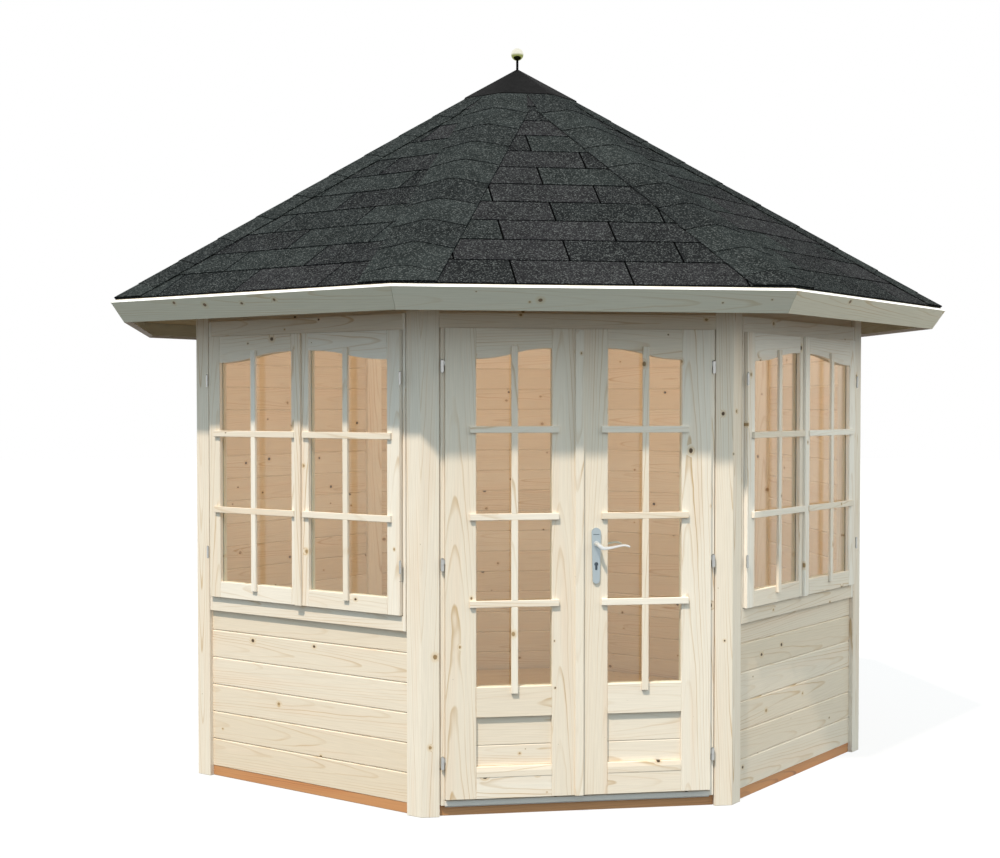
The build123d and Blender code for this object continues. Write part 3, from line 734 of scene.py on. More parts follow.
panel_points = [slope_place(front).inverted() @ vertex.co for vertex in nodes["roof_panels"].data.vertices
                if vertex.co.y < 0 and abs(vertex.co.x) < -vertex.co.y * math.tan(half)]
deck_foot = min(point.y for point in panel_points)
deck_head = max(point.y for point in panel_points)
deck_under = min(point.z for point in panel_points)
ceiling = Pile(soffit_painted_shade_tones)
for side in range(side_count):
    foot = deck_foot
    while foot < deck_head - least_roof_board:
        head = min(foot + roof_pitch, deck_head)
        section = [(foot, deck_under + groove), (foot + groove, deck_under), (head - groove, deck_under),
                   (head, deck_under + groove), (head, 0), (foot, 0)]
        ceiling.add("zop", section, slope_place(side), lambda up, off: panel_gap - hip(up, off),
                    lambda up, off: hip(up, off) - panel_gap)
        foot = head
ceiling.make("roof_boards", "spruce", "house", "roof_panels", finish="soffit_spruce_painted_shade", soften=0.5 * mm)

deck_low, deck_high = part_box("floor_deck")
cuts = []
for index in range(2 * side_count):
    way = Vector((math.cos(index * half), math.sin(index * half), 0))
    cuts.append((way, max(vertex.co.dot(way) for vertex in nodes["floor_deck"].data.vertices)))
flooring = Pile()
foot = deck_low.y
while foot < deck_high.y - least_board:
    head = min(foot + floor_pitch, deck_high.y)
    board = box_outline(deck_low.x, deck_high.x, foot, head)
    for way, limit in cuts:
        board = clip(board, lambda x, y: limit - way.x * x - way.y * y)
    flooring.add("pzo", board, Matrix.Identity(4), deck_low.z, deck_high.z)
    foot = head
flooring.make("floor_deck_boards", "floor_boards", "house", "floor_deck", soften=2 * mm)

# %% [markdown]
# ## Shingles
# Each slope carries courses of felt strips, 170 mm apart, and the joints of one course fall near the
# middle of the strips below. A strip reaches up under the next two courses and lies on the one below it,
# so its lower edge stands up: that throws the dark line that draws the roof. Near-black slivers lie under
# the edges, a painted shadow that darkens that line, and in the joints, partly bare bitumen and partly
# painted shade.

# %% Lay the shingles
first_course = 35 * mm
course_step = 170 * mm
course_lap = 10 * mm
strip_length = 442 * mm
strip_gap = 8 * mm
uneven = 1.2 * mm
felt = 2.7 * mm
lift_low = 8.4 * mm
lift_step = 2.8 * mm
even_joint = -304 * mm
odd_joint = -73 * mm
starter_lift = 0.2 * mm
starter_lap = 20 * mm
joint_felt = 0.4 * felt
painted_shadow_felt = 0.6 * felt
painted_shadow_reach = 3 * mm
batch_tones = (0.0, 1.0)
eave_start = deck_foot + 2.5 * mm
cap_edge = (eave_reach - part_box("roof_cap")[1].x) / math.cos(pitch)


def lay_felt(pile, place, outline, foot, off, thick, log=None):
    """A piece of felt that stands off the slope at its foot and sinks toward it by one step a course."""
    def top(along, up):
        return off - lift_step * (up - foot) / course_step

    pile.add("pzo", outline, place, lambda along, up: top(along, up) - thick, top, log=log)


shingles = Pile(batch_tones)
for side in range(side_count):
    place = slope_place(side)
    slide = chance.uniform(0, strip_length) if side else 0.0
    starter_head = first_course + course_step + starter_lap
    starter = [(-hip(eave_start), eave_start), (hip(eave_start), eave_start)]
    starter += [(hip(starter_head), starter_head), (-hip(starter_head), starter_head)]
    shingles.add("pzo", starter, place, starter_lift, felt)
    course = 0
    while first_course + course * course_step < cap_edge:
        foot = first_course + course * course_step if course else eave_start
        head = foot + 2 * course_step + course_lap
        if course:
            # A near-black sliver under the foot of each course: a painted shadow of its raised edge.
            edge = box_outline(-hip(foot), hip(foot), foot - painted_shadow_reach, foot + course_lap)
            lay_felt(shingles, place, edge, foot, lift_low - felt, painted_shadow_felt, bitumen_and_painted_shade_log)
        start = (odd_joint if course % 2 else even_joint) + slide
        start -= strip_length * math.ceil((start + hip(foot)) / strip_length)
        while start < hip(foot):
            drop = chance.uniform(-uneven, uneven) if course else 0
            end = start + strip_length
            strip = box_outline(start + strip_gap / 2, end - strip_gap / 2, foot + drop, head)
            strip = clip(strip, lambda along, up: hip(up) - along)
            strip = clip(strip, lambda along, up: hip(up) + along)
            if len(strip) > 2:
                lay_felt(shingles, place, strip, foot, lift_low, felt)
            if abs(start) < hip(foot + course_step):
                # A near-black sliver in each joint: partly bare bitumen, partly painted shade.
                covered = foot + course_step + course_lap
                joint = box_outline(start - strip_gap, start + strip_gap, foot, covered)
                lay_felt(shingles, place, joint, foot, lift_low - felt, joint_felt, bitumen_and_painted_shade_log)
            start = end
        course += 1
shingles.make("shingle_courses", "felt_shingle", "house", "roof_shingles", soften=0)

# %% [markdown]
# ## Hip caps
# The hips are covered last, with short caps bent over them that lap upward like the courses, a little
# further apart. Each cap droops to both sides of its bend, which draws a chevron on the hip. A thicker
# near-black piece under its foot is a painted shadow: the dark edge of that chevron.

# %% Bend the caps over the hips
cap_reach = 151.5 * mm
cap_first = 140 * mm
cap_step = 194 * mm
cap_lap = 50 * mm
cap_droop = 0.9
cap_bend = 0.2
cap_crease = 2 * mm
cap_lift_low = 13.8 * mm
cap_lift_high = 10.8 * mm
cap_felt = 2.2 * mm
cap_shares = (-1, -0.55, -0.25, -0.1, 0, 0.1, 0.25, 0.55, 1)
cap_tones = (0.5, 1.0)
cap_painted_shadow_depth = 4.5 * mm
cap_painted_shadow_lap = 30 * mm


def hip_cap(pile, side, foot, head, sunk, thick, log):
    """One cap bent over the hip between a side and the next, its ends drooping from the bend."""
    low, high = cap_lift_low - sunk, cap_lift_high - sunk
    edges = ((foot, low), (head, high), (head, high - thick), (foot, low - thick))
    rings = []
    for share in cap_shares:
        away = abs(share) * cap_reach / math.cos(half)
        bend = (math.hypot(share, cap_bend) - cap_bend) * cap_reach
        droop = bend * cap_droop * math.sin(half) / math.cos(pitch)
        hand, place = (1, slope_place(side)) if share <= 0 else (-1, slope_place(side + 1))
        ring = []
        for up, lift in edges:
            off = lift if share else lift - cap_crease
            slope_up = max(up - droop, eave_start)
            along = max(hip(slope_up, off) - away, 0)
            grain = (share * cap_reach, slope_up, off)
            ring.append(pile.corner(place, (hand * along, slope_up, off), grain, log))
        rings.append(ring)
    wrap(pile.mesh, rings)


caps = Pile(cap_tones)
for side in range(side_count):
    foot = cap_first - cap_step
    while foot < cap_edge:
        cap_foot = max(foot, eave_start)
        cap_head = min(foot + cap_step, cap_edge) + cap_lap
        hip_cap(caps, side, cap_foot, cap_head, 0, cap_felt, caps.log())
        # Under each cap's foot, a thicker near-black piece: a painted shadow that draws the chevron's dark
        # edge.
        hip_cap(caps, side, cap_foot - painted_shadow_reach, cap_foot + cap_painted_shadow_lap, cap_felt, cap_painted_shadow_depth, bitumen_and_painted_shade_log)
        foot += cap_step
caps.make("hip_caps", "felt_shingle", "house", soften=0)

# %% [markdown]
# ## Cap and ball
# The eight hips meet under a pyramid of black sheet, folded down at its rim to throw the rain off. On
# its tip a rod carries a brass ball. Both are made by stacking rings of points: eight to a ring for the
# folded sheet, many for the turned rod and ball. A lathe in Blender, the Screw modifier, would do the
# same; rings are clearer.

# %% Fold the cap and turn the ball
cap_lift = 13 * mm
rim_drop = 9 * mm
rim_flare = 3 * mm
sheet = 1.5 * mm
tip_drop = 4.5 * mm
rod_radius = 5.8 * mm
rod_sunk = 30 * mm
rod_sides = 32
collar_radius = 1.2 * rod_radius
collar_sunk = 20 * mm
ball_sides = 64
ball_rings = 40
pole = math.radians(88)


def ringed(mesh, profile, place, count, start=0.0, smooth=True):
    """Rings of points, one for each radius and height of the profile, joined into a closed skin."""
    rings = []
    for radius, height in profile:
        ring = []
        for index in range(count):
            angle = start + math.tau * index / count
            at = Vector((radius * math.cos(angle), radius * math.sin(angle), height))
            ring.append(mesh.verts.new(place @ at))
        rings.append(ring)
    wrap(mesh, rings, smooth)


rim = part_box("roof_cap")[1].x / math.cos(half)
slant = math.tan(pitch) * math.cos(half)
peak = eave_height + eave_reach * math.tan(pitch) + cap_lift / math.cos(pitch)
rim_height = peak - rim * slant
tip_height = peak - tip_drop
rim_out = rim + rim_flare
folds = [(rim_out - sheet, rim_height - rim_drop), (rim_out, rim_height - rim_drop), (rim_out, rim_height)]
folds += [(collar_radius, tip_height - rod_radius * slant), (collar_radius, tip_height - collar_sunk)]
folds += [(rim_out - sheet, rim_height - 2 * sheet)]
cap = bmesh.new()
ringed(cap, folds, Matrix.Identity(4), side_count, start=half, smooth=False)
piece("folded_cap", cap, "black_sheet", "house", "roof_cap", soften=1.5 * mm)

finial_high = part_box("finial")[1]
ball_radius = finial_high.x
ball_height = finial_high.z - ball_radius - tip_drop
rod = bmesh.new()
ringed(rod, [(rod_radius, tip_height - rod_sunk), (rod_radius, ball_height)], Matrix.Identity(4), rod_sides)
piece("finial_rod", rod, "black_sheet", "house")
ball = bmesh.new()
swing = [pole * (2 * index / ball_rings - 1) for index in range(ball_rings + 1)]
round_profile = [(ball_radius * math.cos(a), ball_height + ball_radius * math.sin(a)) for a in swing]
ringed(ball, round_profile, Matrix.Identity(4), ball_sides)
piece("finial_ball", ball, "brass", "house", "finial")

# %% [markdown]
# ## Window frames
# A window frame is four pieces with a step in their section: the front part holds the sash at its edge,
# the back part is wider and stops it. The uprights run full height, and head and sill fit between them.

# %% Make the window frames
sash_gap = 3 * mm
head_play = 0.6 * mm
stop = 28 * mm

for window, side in windows.items():
    name = window + "_frame"
    low, high = wall_box(name, side)
    sash_low, sash_high = wall_box(window + "_left_sash", side)
    edge = -sash_low.x + sash_gap
    framing = Pile()
    upright = frame_upright(edge, bay, edge - stop, low.z, sash_low.z, 0)
    for hand in (1, -1):
        framing.add("poz", upright, wall_place(side, hand), low.y, high.y, along="z")
    for outer, inner, way in ((low.y, sash_low.y - sash_gap, 1), (high.y, sash_high.y + head_play, -1)):
        log = framing.log()
        behind = box_outline(outer, inner + way * stop, low.z, sash_low.z)
        framing.add("zop", behind, wall_place(side), stop - edge, edge - stop, log=log)
        before = box_outline(outer, inner, sash_low.z, 0)
        framing.add("zop", before, wall_place(side), -edge, edge, log=log)
    framing.make(name + "_members", "spruce", "house", name)

# %% [markdown]
# ## Glazed leaves
# Door leaves and window sashes are joined alike: two stiles, rails between them, a top rail cut in a
# long S that climbs to the middle, and a step behind the front edge where the pane lies, held by thin
# beads. So one function builds them all, from the edges of the leaf and of its glass. It works outward
# from the middle of the wall, and a mirrored wall matrix makes the left-hand ones. The bars of the
# lattice lie on the face of the leaf, over the glass, with their ends running out on the wood.

# %% One function for every leaf
step_width = 10 * mm
pane = 4 * mm
pane_lap = 8 * mm
shoulder_out = -2 * mm
edge_bevel = 2.5 * mm
lip_depth = 10 * mm
bar_bevel = 1.5 * mm
arch_rise = 42 * mm
arch_points = 20


def opening(solid, side, hand):
    """The edges of the wood round a pane or a panel: near, far, foot and head."""
    points = [point for point in wall_points(solid, side, hand) if point.x > 0]
    along = [point.x for point in points]
    up = [point.y for point in points]
    return min(along) + pane_lap, max(along) - pane_lap, min(up) + pane_lap, max(up) - pane_lap


def arch(far, near, high):
    """The S of a top rail, from its low outer end to its high inner end: two arcs that meet halfway."""
    half_run = (far - near) / 2
    half_rise = arch_rise / 2
    radius = (half_run ** 2 + half_rise ** 2) / (2 * half_rise)
    curve = []
    for index in range(arch_points + 1):
        along = 2 * half_run * index / arch_points
        short = min(along, 2 * half_run - along)
        bend = radius - math.sqrt(radius ** 2 - short ** 2)
        curve.append((far - along, high - arch_rise + bend if along <= half_run else high - bend))
    return curve


def glazed_leaf(pile, place, leaf, light, rails, back, face, lip=0.0):
    """Stiles, rails and beads of one leaf. leaf and light are edges: near, far, foot, head. A rail is its
    low and high edge, the fall and depth of its bevel, how proud it stands, and which edges have a step."""
    near, far, foot, head = leaf
    glass_near, glass_far, glass_foot, glass_head = light
    step_near, step_far = glass_near - step_width, glass_far + step_width
    for edge, glass, way in ((far, glass_far, 1), (near, glass_near, -1)):
        inner = glass + way * step_width
        section = [(edge, back), (inner, back), (inner, shoulder_out), (glass, shoulder_out)]
        section += [(glass, face - edge_bevel), (glass + way * edge_bevel, face)]
        if lip and way == -1:
            section += [(edge - lip, face), (edge - lip, face - lip_depth), (edge, face - lip_depth)]
        else:
            section += [(edge, face)]
        pile.add("poz", section, place, foot, head, along="z")

    for low, high, fall, depth, proud, open_low, open_high in rails:
        log = pile.log()
        section = [(low, shoulder_out), (high, shoulder_out), (high, face + proud - depth)]
        section += [(high - fall, face + proud), (low, face + proud)]
        pile.add("zop", section, place, glass_near, glass_far, log=log)
        hidden = box_outline(low + open_low * step_width, high - open_high * step_width, back, shoulder_out)
        pile.add("zop", hidden, place, step_near, step_far, log=log)

    log = pile.log()
    curve = arch(glass_far, glass_near, glass_head)
    raised = [(along, up + step_width) for along, up in curve]
    pile.add("pzo", curve + [(glass_near, head), (glass_far, head)], place, shoulder_out, face, log=log)
    hidden = [(step_far, raised[0][1])] + raised
    hidden += [(step_near, raised[-1][1]), (step_near, head), (step_far, head)]
    pile.add("pzo", hidden, place, back, shoulder_out, log=log)

    behind = shoulder_out - pane
    for edge, way, top in ((glass_far, 1, curve[0][1]), (glass_near, -1, curve[-1][1])):
        bead = box_outline(edge, edge + way * step_width, back, behind)
        pile.add("poz", bead, place, glass_foot, top, along="z")
    bead = box_outline(glass_foot - step_width, glass_foot, back, behind)
    pile.add("zop", bead, place, step_near, step_far)
    pile.add("pzo", curve + raised[::-1], place, back, behind)


def bar_section(low, high, face, rim):
    """Section of a glazing bar, its two front edges planed off."""
    front_edges = [(high - bar_bevel, rim), (low + bar_bevel, rim)]
    return [(low, face), (high, face), (high, rim - bar_bevel)] + front_edges + [(low, rim - bar_bevel)]


def lattice(name, side, hands, body):
    """Upright and cross bars where the solid has them, halved over each other with their faces flush."""
    pile = Pile()
    for hand in hands:
        place = wall_place(side, hand)
        points = [point for point in wall_points(name, side, hand) if point.x > 0]
        points = [[round(value / mm, 1) * mm for value in point] for point in points]
        along, up, out = (sorted(set(values)) for values in zip(*points))
        face, rim = out
        log = pile.log()
        # The upright is cut where the cross bars pass, and stays one piece of wood.
        for low, high in zip(up[0::2], up[1::2]):
            pile.add("poz", bar_section(along[1], along[2], face, rim), place, low, high, along="z", log=log)
        for low, high in zip(up[1:-1:2], up[2:-1:2]):
            pile.add("zop", bar_section(low, high, face, rim), place, along[0], along[-1])
    pile.make(name + "_lattice", "spruce", body, name)


print("leaves can be joined")

# %% [markdown]
# ## Window sashes
# Each window has two narrow sashes that meet under a cover strip. Their bars divide the glass in two by
# three.

# %% Make the window sashes
rail_bevel = 1.5 * mm

for window, side in windows.items():
    for name, hand in {"left_sash": -1, "right_sash": 1}.items():
        solid = f"{window}_{name}"
        low, high = wall_box(solid, side, hand)
        light = opening(window + "_glass", side, hand)
        rails = [(low.y, light[2], rail_bevel, rail_bevel, 0, 0, 1)]
        sash = Pile()
        leaf = (low.x, high.x, low.y, high.y)
        glazed_leaf(sash, wall_place(side, hand), leaf, light, rails, low.z, high.z)
        sash.make(solid + "_members", "spruce", "house", solid)
    lattice(window + "_bars", side, (-1, 1), "house")

# %% [markdown]
# ## Door leaves
# A door leaf adds a lock rail and a panel of two boards at its foot. On the bottom rail lies a weather
# strip that stands a little proud. Its bevel sheds water, and catches the light as a bright line under
# the panel.

# %% Make the door leaves
weather_fall = 18 * mm
weather_depth = 3.2 * mm
weather_height = 41 * mm
weather_proud = 1.5 * mm
lock_bevel = 2.5 * mm
least_lip = 2.5 * mm
panel_field = 3 * mm
panel_upper = 4 * mm
panel_lower = 2 * mm
panel_play = 0.3 * mm
panel_joint_share = 0.424
panel_tones = (0.4, 0.9)
meeting = wall_box("door_cover_strip", front)[1].x
head_foot = levels("door_head", front, "y")[1]

for name, hand in leaves.items():
    place = wall_place(front, hand)
    low, high = wall_box(name + "_leaf", front, hand)
    light = opening(name + "_glass", front, hand)
    panel_low, panel_high = wall_box(name + "_panel", front, hand)
    panel_foot, panel_head = opening(name + "_panel", front, hand)[2:]
    weather_foot = panel_foot - weather_height
    rails = [(low.y, weather_foot, rail_bevel, rail_bevel, 0, 0, 0),
             (weather_foot, panel_foot, weather_fall, weather_depth, weather_proud, 0, 1),
             (panel_head, light[2], lock_bevel, lock_bevel, 0, 1, 1)]
    near = max(low.x, hand * meeting + least_lip)
    lip = near - hand * meeting
    if name == "right_door":
        lip -= leaf_play
    joinery = Pile()
    leaf = (near, high.x, low.y, head_foot - leaf_play)
    glazed_leaf(joinery, place, leaf, light, rails, low.z, high.z, lip)
    joinery.make(name + "_leaf_members", "spruce", name, name + "_leaf")
    lattice(name + "_bars", front, (hand,), name)

    boards = Pile(panel_tones)
    joint = panel_foot + panel_joint_share * (panel_head - panel_foot)
    field = panel_high.z + panel_field
    for foot, head, low_edge, high_edge in ((panel_low.y, joint, panel_foot, joint),
                                            (joint, panel_high.y, joint, panel_head)):
        log = boards.log()
        core = box_outline(foot, head, panel_low.z, panel_high.z)
        boards.add("zop", core, place, panel_low.x, panel_high.x, log=log)
        raised = [(low_edge, panel_high.z), (high_edge, panel_high.z), (high_edge, field - panel_upper)]
        raised += [(high_edge - panel_upper, field), (low_edge + panel_lower, field)]
        raised += [(low_edge, field - panel_lower)]
        boards.add("zop", raised, place, light[0] + panel_play, light[1] - panel_play, log=log)
    boards.make(name + "_panel_boards", "spruce", name, name + "_panel", soften=board_edge)

# %% [markdown]
# ## Hinges
# The doors hang on lift-off hinges whose solids are right already: they need zinc. The windows have
# smaller ones at their outer edges, two to a sash: a turned barrel with a ring in its middle where its
# halves meet.

# %% Hang the windows
hinge_heights = (968 * mm, 1700 * mm)
hinge_out = 20 * mm
hinge_aside = 7 * mm
barrel = [(2, -27), (5, -23), (5, -1), (4.2, -0.6), (4.2, 0.6), (5, 1), (5, 23), (2, 27)]
barrel_sides = 20


def coat(solid, finish):
    """A solid shown as it is, in one finish."""
    nodes[solid].data.materials.clear()
    nodes[solid].data.materials.append(finishes[finish])


for solid in ("door_hinge_pins", "left_door_hinges", "right_door_hinges"):
    coat(solid, "zinc_steel")
turned = [(radius * mm, up * mm) for radius, up in barrel]
for window, side in windows.items():
    hinges = bmesh.new()
    edge = wall_box(window + "_right_sash", side)[1].x + hinge_aside
    for hand in (1, -1):
        for height in hinge_heights:
            at = wall_place(side, hand) @ Vector((edge, height, hinge_out))
            ringed(hinges, turned, Matrix.Translation(at), barrel_sides)
    piece(window + "_hinges", hinges, "zinc_steel", "house")

# %% [markdown]
# ## Handle
# The handle stands on a long plate, wide and round at the top and narrower at the foot, with a keyhole.
# The plate is flat, so its outline and the hole are filled with triangles at front and back.

# %% Make the handle's plates
plate_low, plate_high = wall_box("handle_plates", front)
leaf_low, leaf_high = wall_box("right_door_leaf", front)
pivot = next(Vector(joint["pos_m"]) for joint in frame["joints"] if joint["name"] == "handle_turn")
plate_ease = 2 * mm
plate_top_radius = (plate_high.x - plate_low.x) / 2 - plate_ease
plate_foot_radius = 13.5 * mm
plate_steps = 24
keyhole_radius = 8 * mm
keyhole_height = pivot.z - 80 * mm
keyhole_tail = 19 * mm
keyhole_half = 4.8 * mm
keyhole_steps = (20, 10)
# The keyhole is filled part way with a dark slug, a painted shade of the hole; a thin dark bar across the
# plate is a painted shade line.
slug_share = 0.35
shade_line_height = pivot.z + 36 * mm
shade_line_size = (24 * mm, 0.8 * mm, 2.4 * mm)


def arc(centre_up, radius, start, end, count):
    """Points of an arc about the pivot's upright, along and up."""
    angles = [math.radians(start + (end - start) * index / count) for index in range(count + 1)]
    return [(pivot.x + radius * math.cos(a), centre_up + radius * math.sin(a)) for a in angles]


def holed_plate(mesh, outline, hole, place, back, face):
    """A plate with one hole: both faces filled with triangles, and walls round the rim and the hole."""
    layers = []
    for out in (back, face):
        layers.append([mesh.verts.new(place @ Vector((along, up, out))) for along, up in outline + hole])
    flat = [[Vector((along, up, 0)) for along, up in loop] for loop in (outline, hole)]
    for corners in tessellate_polygon(flat):
        for layer in layers:
            mesh.faces.new([layer[index] for index in corners])
    rim = len(outline)
    wrap(mesh, [layer[:rim] for layer in layers], smooth=True, ends=False)
    wrap(mesh, [layer[rim:] for layer in layers], smooth=True, ends=False)


plate_run = plate_high.y - plate_low.y - plate_top_radius - plate_foot_radius
lean = math.degrees(math.asin((plate_top_radius - plate_foot_radius) / plate_run))
plate_outline = arc(plate_high.y - plate_top_radius, plate_top_radius, -lean, 180 + lean, plate_steps)
plate_outline += arc(plate_low.y + plate_foot_radius, plate_foot_radius, 180 + lean, 360 - lean, plate_steps)
pinch = math.degrees(math.asin(keyhole_half / keyhole_radius))
keyhole = arc(keyhole_height, keyhole_radius, pinch - 90, 270 - pinch, keyhole_steps[0])
keyhole += arc(keyhole_height - keyhole_tail, keyhole_half, 180, 360, keyhole_steps[1])
door = wall_place(front)
plates = bmesh.new()
lock = bmesh.new()
for back, face in ((leaf_high.z, plate_high.z), (leaf_low.z, plate_low.z)):
    holed_plate(plates, plate_outline, keyhole, door, back, face)
    # A dark slug in the keyhole: a painted shade of the hole.
    slug = []
    for out in (back, back + (face - back) * slug_share):
        slug.append([lock.verts.new(door @ Vector((along, up, out))) for along, up in keyhole])
    wrap(lock, slug)
    # A thin dark bar across the plate above the lever: a painted shade line.
    shade_line = Matrix.Translation(door @ Vector((pivot.x, shade_line_height, face))) @ Matrix.Diagonal((*shade_line_size, 1))
    bmesh.ops.create_cube(lock, size=1.0, matrix=shade_line)
piece("handle_back_plates", plates, "handle_metal", "right_door", "handle_plates", finish="handle_plate",
      soften=3.5 * mm, segments=3)
piece("keyhole_painted_shade_pieces", lock, "zinc_steel", "right_door", finish="lock_painted_shade")

# %% [markdown]
# ## Lever
# The lever is a bar that drops a little, rises and curls down at its tip. It is made by moving an oval
# along a line of points, as a curve object with a bevel would; here the oval can flatten toward the tip.
# Each point of the route gives along, up, out, half height and half depth, in millimetres.

# %% Make the lever
spindle_radius = 4.5 * mm
lever_gap = 0.5 * mm
lever_sides = 20
lever_steps = 5
lever_route = [(0, 0, 0, 11, 11), (0, 0, 14, 10, 10), (0.4, -0.6, 32, 8.2, 7.6), (4.6, -4.6, 41, 8.2, 6.8),
               (12, -11.2, 43.5, 7.8, 6), (23, -14.6, 43.5, 7, 5.6), (44, -13.2, 43.5, 6, 5.5),
               (69, -8.4, 43.5, 5.2, 5.4), (94, -4, 43.5, 4.6, 5.2), (109, -4.6, 43.5, 4.4, 5),
               (119, -8, 43.5, 4, 4.6), (123, -10.4, 43.5, 3, 3.4), (124.6, -11.4, 43.5, 1, 1.2)]


def sweep(mesh, path, sizes):
    """An oval moved along a line of points; its half height and half depth are given at each."""
    rings = []
    for index, point in enumerate(path):
        ahead = path[min(index + 1, len(path) - 1)] - path[max(index - 1, 0)]
        ahead.normalize()
        up = (Vector((0, 0, 1)) - ahead * ahead.z).normalized()
        side = ahead.cross(up)
        tall, deep = sizes[index]
        angles = [math.tau * step / lever_sides for step in range(lever_sides)]
        oval = [up * tall * math.sin(angle) + side * deep * math.cos(angle) for angle in angles]
        rings.append([mesh.verts.new(point + away) for away in oval])
    wrap(mesh, rings, smooth=True)


def smooth_route(points):
    """Points of a curve that passes through every point of a route, at even steps between them."""
    route = []
    last = len(points) - 1
    for index in range(last):
        near = [min(max(index + step, 0), last) for step in (-1, 0, 1, 2)]
        before, start, end, after = (Vector(points[which]) for which in near)
        for step in range(lever_steps):
            s = step / lever_steps
            pull = (end - before) * (s - 2 * s * s + s ** 3) + (after - start) * (s ** 3 - s * s)
            route.append(start + (end - start) * (3 * s * s - 2 * s ** 3) + pull / 2)
    return route + [Vector(points[-1])]


lever = bmesh.new()
route = smooth_route([[value * mm for value in point] for point in lever_route])
ovals = [(tall, deep) for along, up, out, tall, deep in route]
for way, face in ((1, plate_high.z), (-1, plate_low.z)):
    path = [door @ Vector((pivot.x + along, pivot.z + up, face + way * (lever_gap + out)))
            for along, up, out, tall, deep in route]
    sweep(lever, path, ovals)
spindle = Matrix.Translation((pivot.x, -reach - plate_low.z, pivot.z)) @ Matrix.Rotation(math.pi / 2, 4, "X")
ringed(lever, [(spindle_radius, 0), (spindle_radius, plate_high.z - plate_low.z)], spindle, lever_sides)
piece("lever_handle", lever, "handle_metal", "handle", "door_handle")

# %% [markdown]
# ## Glass
# The panes are the solids themselves: flat, and hidden in the steps of their leaves at every edge.

# %% Glaze
for solid in ("left_window_glass", "right_window_glass", "left_door_glass", "right_door_glass"):
    coat(solid, "glass")
print("panes glazed")

# %% [markdown]
# ## Light
# The sun stands to the front left, high enough for the eave to shade the upper third of the doors. It is
# given a wide disc for a soft edge. The sky fills the shade with cooler light. Two weaker lamps stand for
# light that comes off other things: a broad one at the right, and a soft one in the room. Camera, mirror
# and glass see plain white instead of the sky, so the gazebo stands on a pale page.

# %% Light the scene
to_sun = Vector((-0.309, -0.441, 0.842))
sun_disc = math.radians(2)
sky_fill = (0.79, 0.95, 1.0, 1.0)
white = (1.0, 1.0, 1.0, 1.0)


def lamp(name, kind, energy, colour, place, toward, **settings):
    """A lamp at a place that shines toward a point, unseen itself."""
    light = bpy.data.lights.new(name, kind)
    light.energy = energy
    light.color = linear(colour)[:3]
    for key, value in settings.items():
        setattr(light, key, value)
    made = bpy.data.objects.new(name, light)
    made.location = place
    made.rotation_euler = (Vector(place) - Vector(toward)).to_track_quat("Z", "Y").to_euler()
    made.visible_camera = False
    made.visible_glossy = False
    bpy.context.scene.collection.objects.link(made)


def seen_by(tree, *rays):
    """1 for the named kinds of ray and 0 for all others."""
    light = node(tree, "LightPath")
    seen = light.outputs[rays[0]]
    for ray in rays[1:]:
        seen = node(tree, "Math", {0: seen, 1: light.outputs[ray]}, operation="MAXIMUM").outputs[0]
    return seen


lamp("sun", "SUN", 3.45, "#FFF1DC", to_sun * 10, (0, 0, 0), angle=sun_disc)
lamp("right fill", "AREA", 108, "#FFEBC8", (6, -3.5, 4.5), (0, 0, 1), size=4)
lamp("room", "POINT", 35, "#FFE4CE", (0.06, -0.2, 1.78), (0, 0, 0), shadow_soft_size=0.4)

world = bpy.data.worlds.new("pale sky")
sky = empty_tree(world)
seen = seen_by(sky, "Is Camera Ray", "Is Glossy Ray", "Is Transmission Ray")
fill = node(sky, "Background", {"Color": sky_fill, "Strength": 1.0}).outputs[0]
page = node(sky, "Background", {"Color": white, "Strength": 1.0}).outputs[0]
both = node(sky, "MixShader", {0: seen, 1: fill, 2: page}).outputs[0]
node(sky, "OutputWorld", {"Surface": both})
bpy.context.scene.world = world
print("lit")

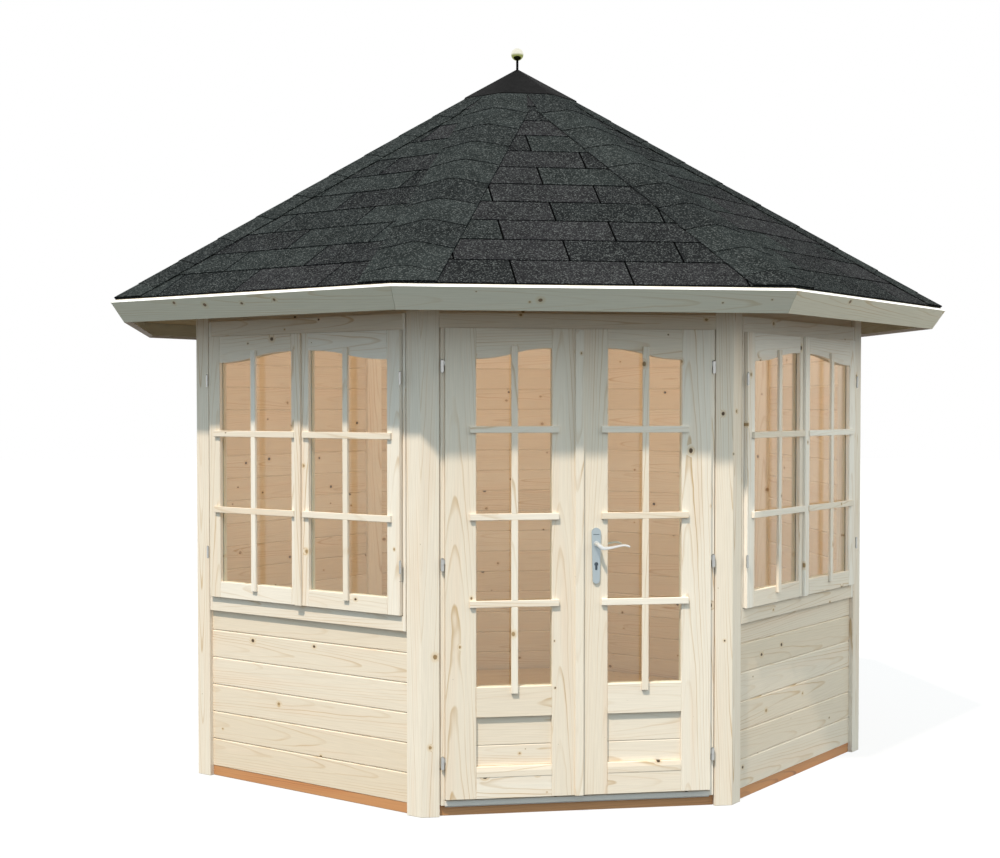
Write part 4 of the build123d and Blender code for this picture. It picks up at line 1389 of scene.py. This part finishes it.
# %% [markdown]
# ## Ground
# What the camera sees of the ground is mostly white light of its own, with a share of white paint that
# lets a soft shadow show. Light that bounces finds a dark grey instead, so that the walls are lit by the
# sky.

# %% Lay the ground
bounce_grey = (0.06, 0.06, 0.055, 1.0)
shadow_grey = (0.9, 0.9, 0.9, 1.0)
page_share = 0.86
ground_radius = 40.0
ground_sides = 96
ground_drop = 0.2 * mm
ground_mesh = bmesh.new()
bmesh.ops.create_circle(ground_mesh, cap_ends=True, segments=ground_sides, radius=ground_radius)
ground_data = bpy.data.meshes.new("ground")
ground_mesh.to_mesh(ground_data)
ground_mesh.free()
ground = bpy.data.objects.new("ground", ground_data)
ground.location.z = -ground_drop
bpy.context.scene.collection.objects.link(ground)
paper = bpy.data.materials.new("pale ground")
tree = empty_tree(paper)
seen = seen_by(tree, "Is Camera Ray", "Is Glossy Ray")
dull = node(tree, "BsdfDiffuse", {"Color": bounce_grey}).outputs[0]
shadowed = node(tree, "BsdfDiffuse", {"Color": shadow_grey}).outputs[0]
glow = node(tree, "Emission", {"Color": white, "Strength": 1.0}).outputs[0]
pale = node(tree, "MixShader", {0: page_share, 1: shadowed, 2: glow}).outputs[0]
both = node(tree, "MixShader", {0: seen, 1: dull, 2: pale}).outputs[0]
node(tree, "OutputMaterial", {"Surface": both})
ground_data.materials.append(paper)
print("ground laid")

# %% [markdown]
# ## Camera
# The camera stands a little to the left at eye height. Its lens is shifted like that of a view camera,
# which moves the picture without tilting the uprights.

# %% Place the camera
camera_tilt = math.radians(88.353)
camera_turn = math.radians(-8.882)
lens = bpy.data.cameras.new("camera")
lens.sensor_width = 36
lens.lens = 55.97
lens.shift_x = -0.0057
lens.shift_y = 0.0213
camera = bpy.data.objects.new("camera", lens)
camera.location = (-1.2196, -7.4425, 1.5931)
camera.rotation_euler = (camera_tilt, 0, camera_turn)
bpy.context.scene.collection.objects.link(camera)
bpy.context.scene.camera = camera
bpy.context.scene.view_settings.view_transform = "Standard"
print("framed")
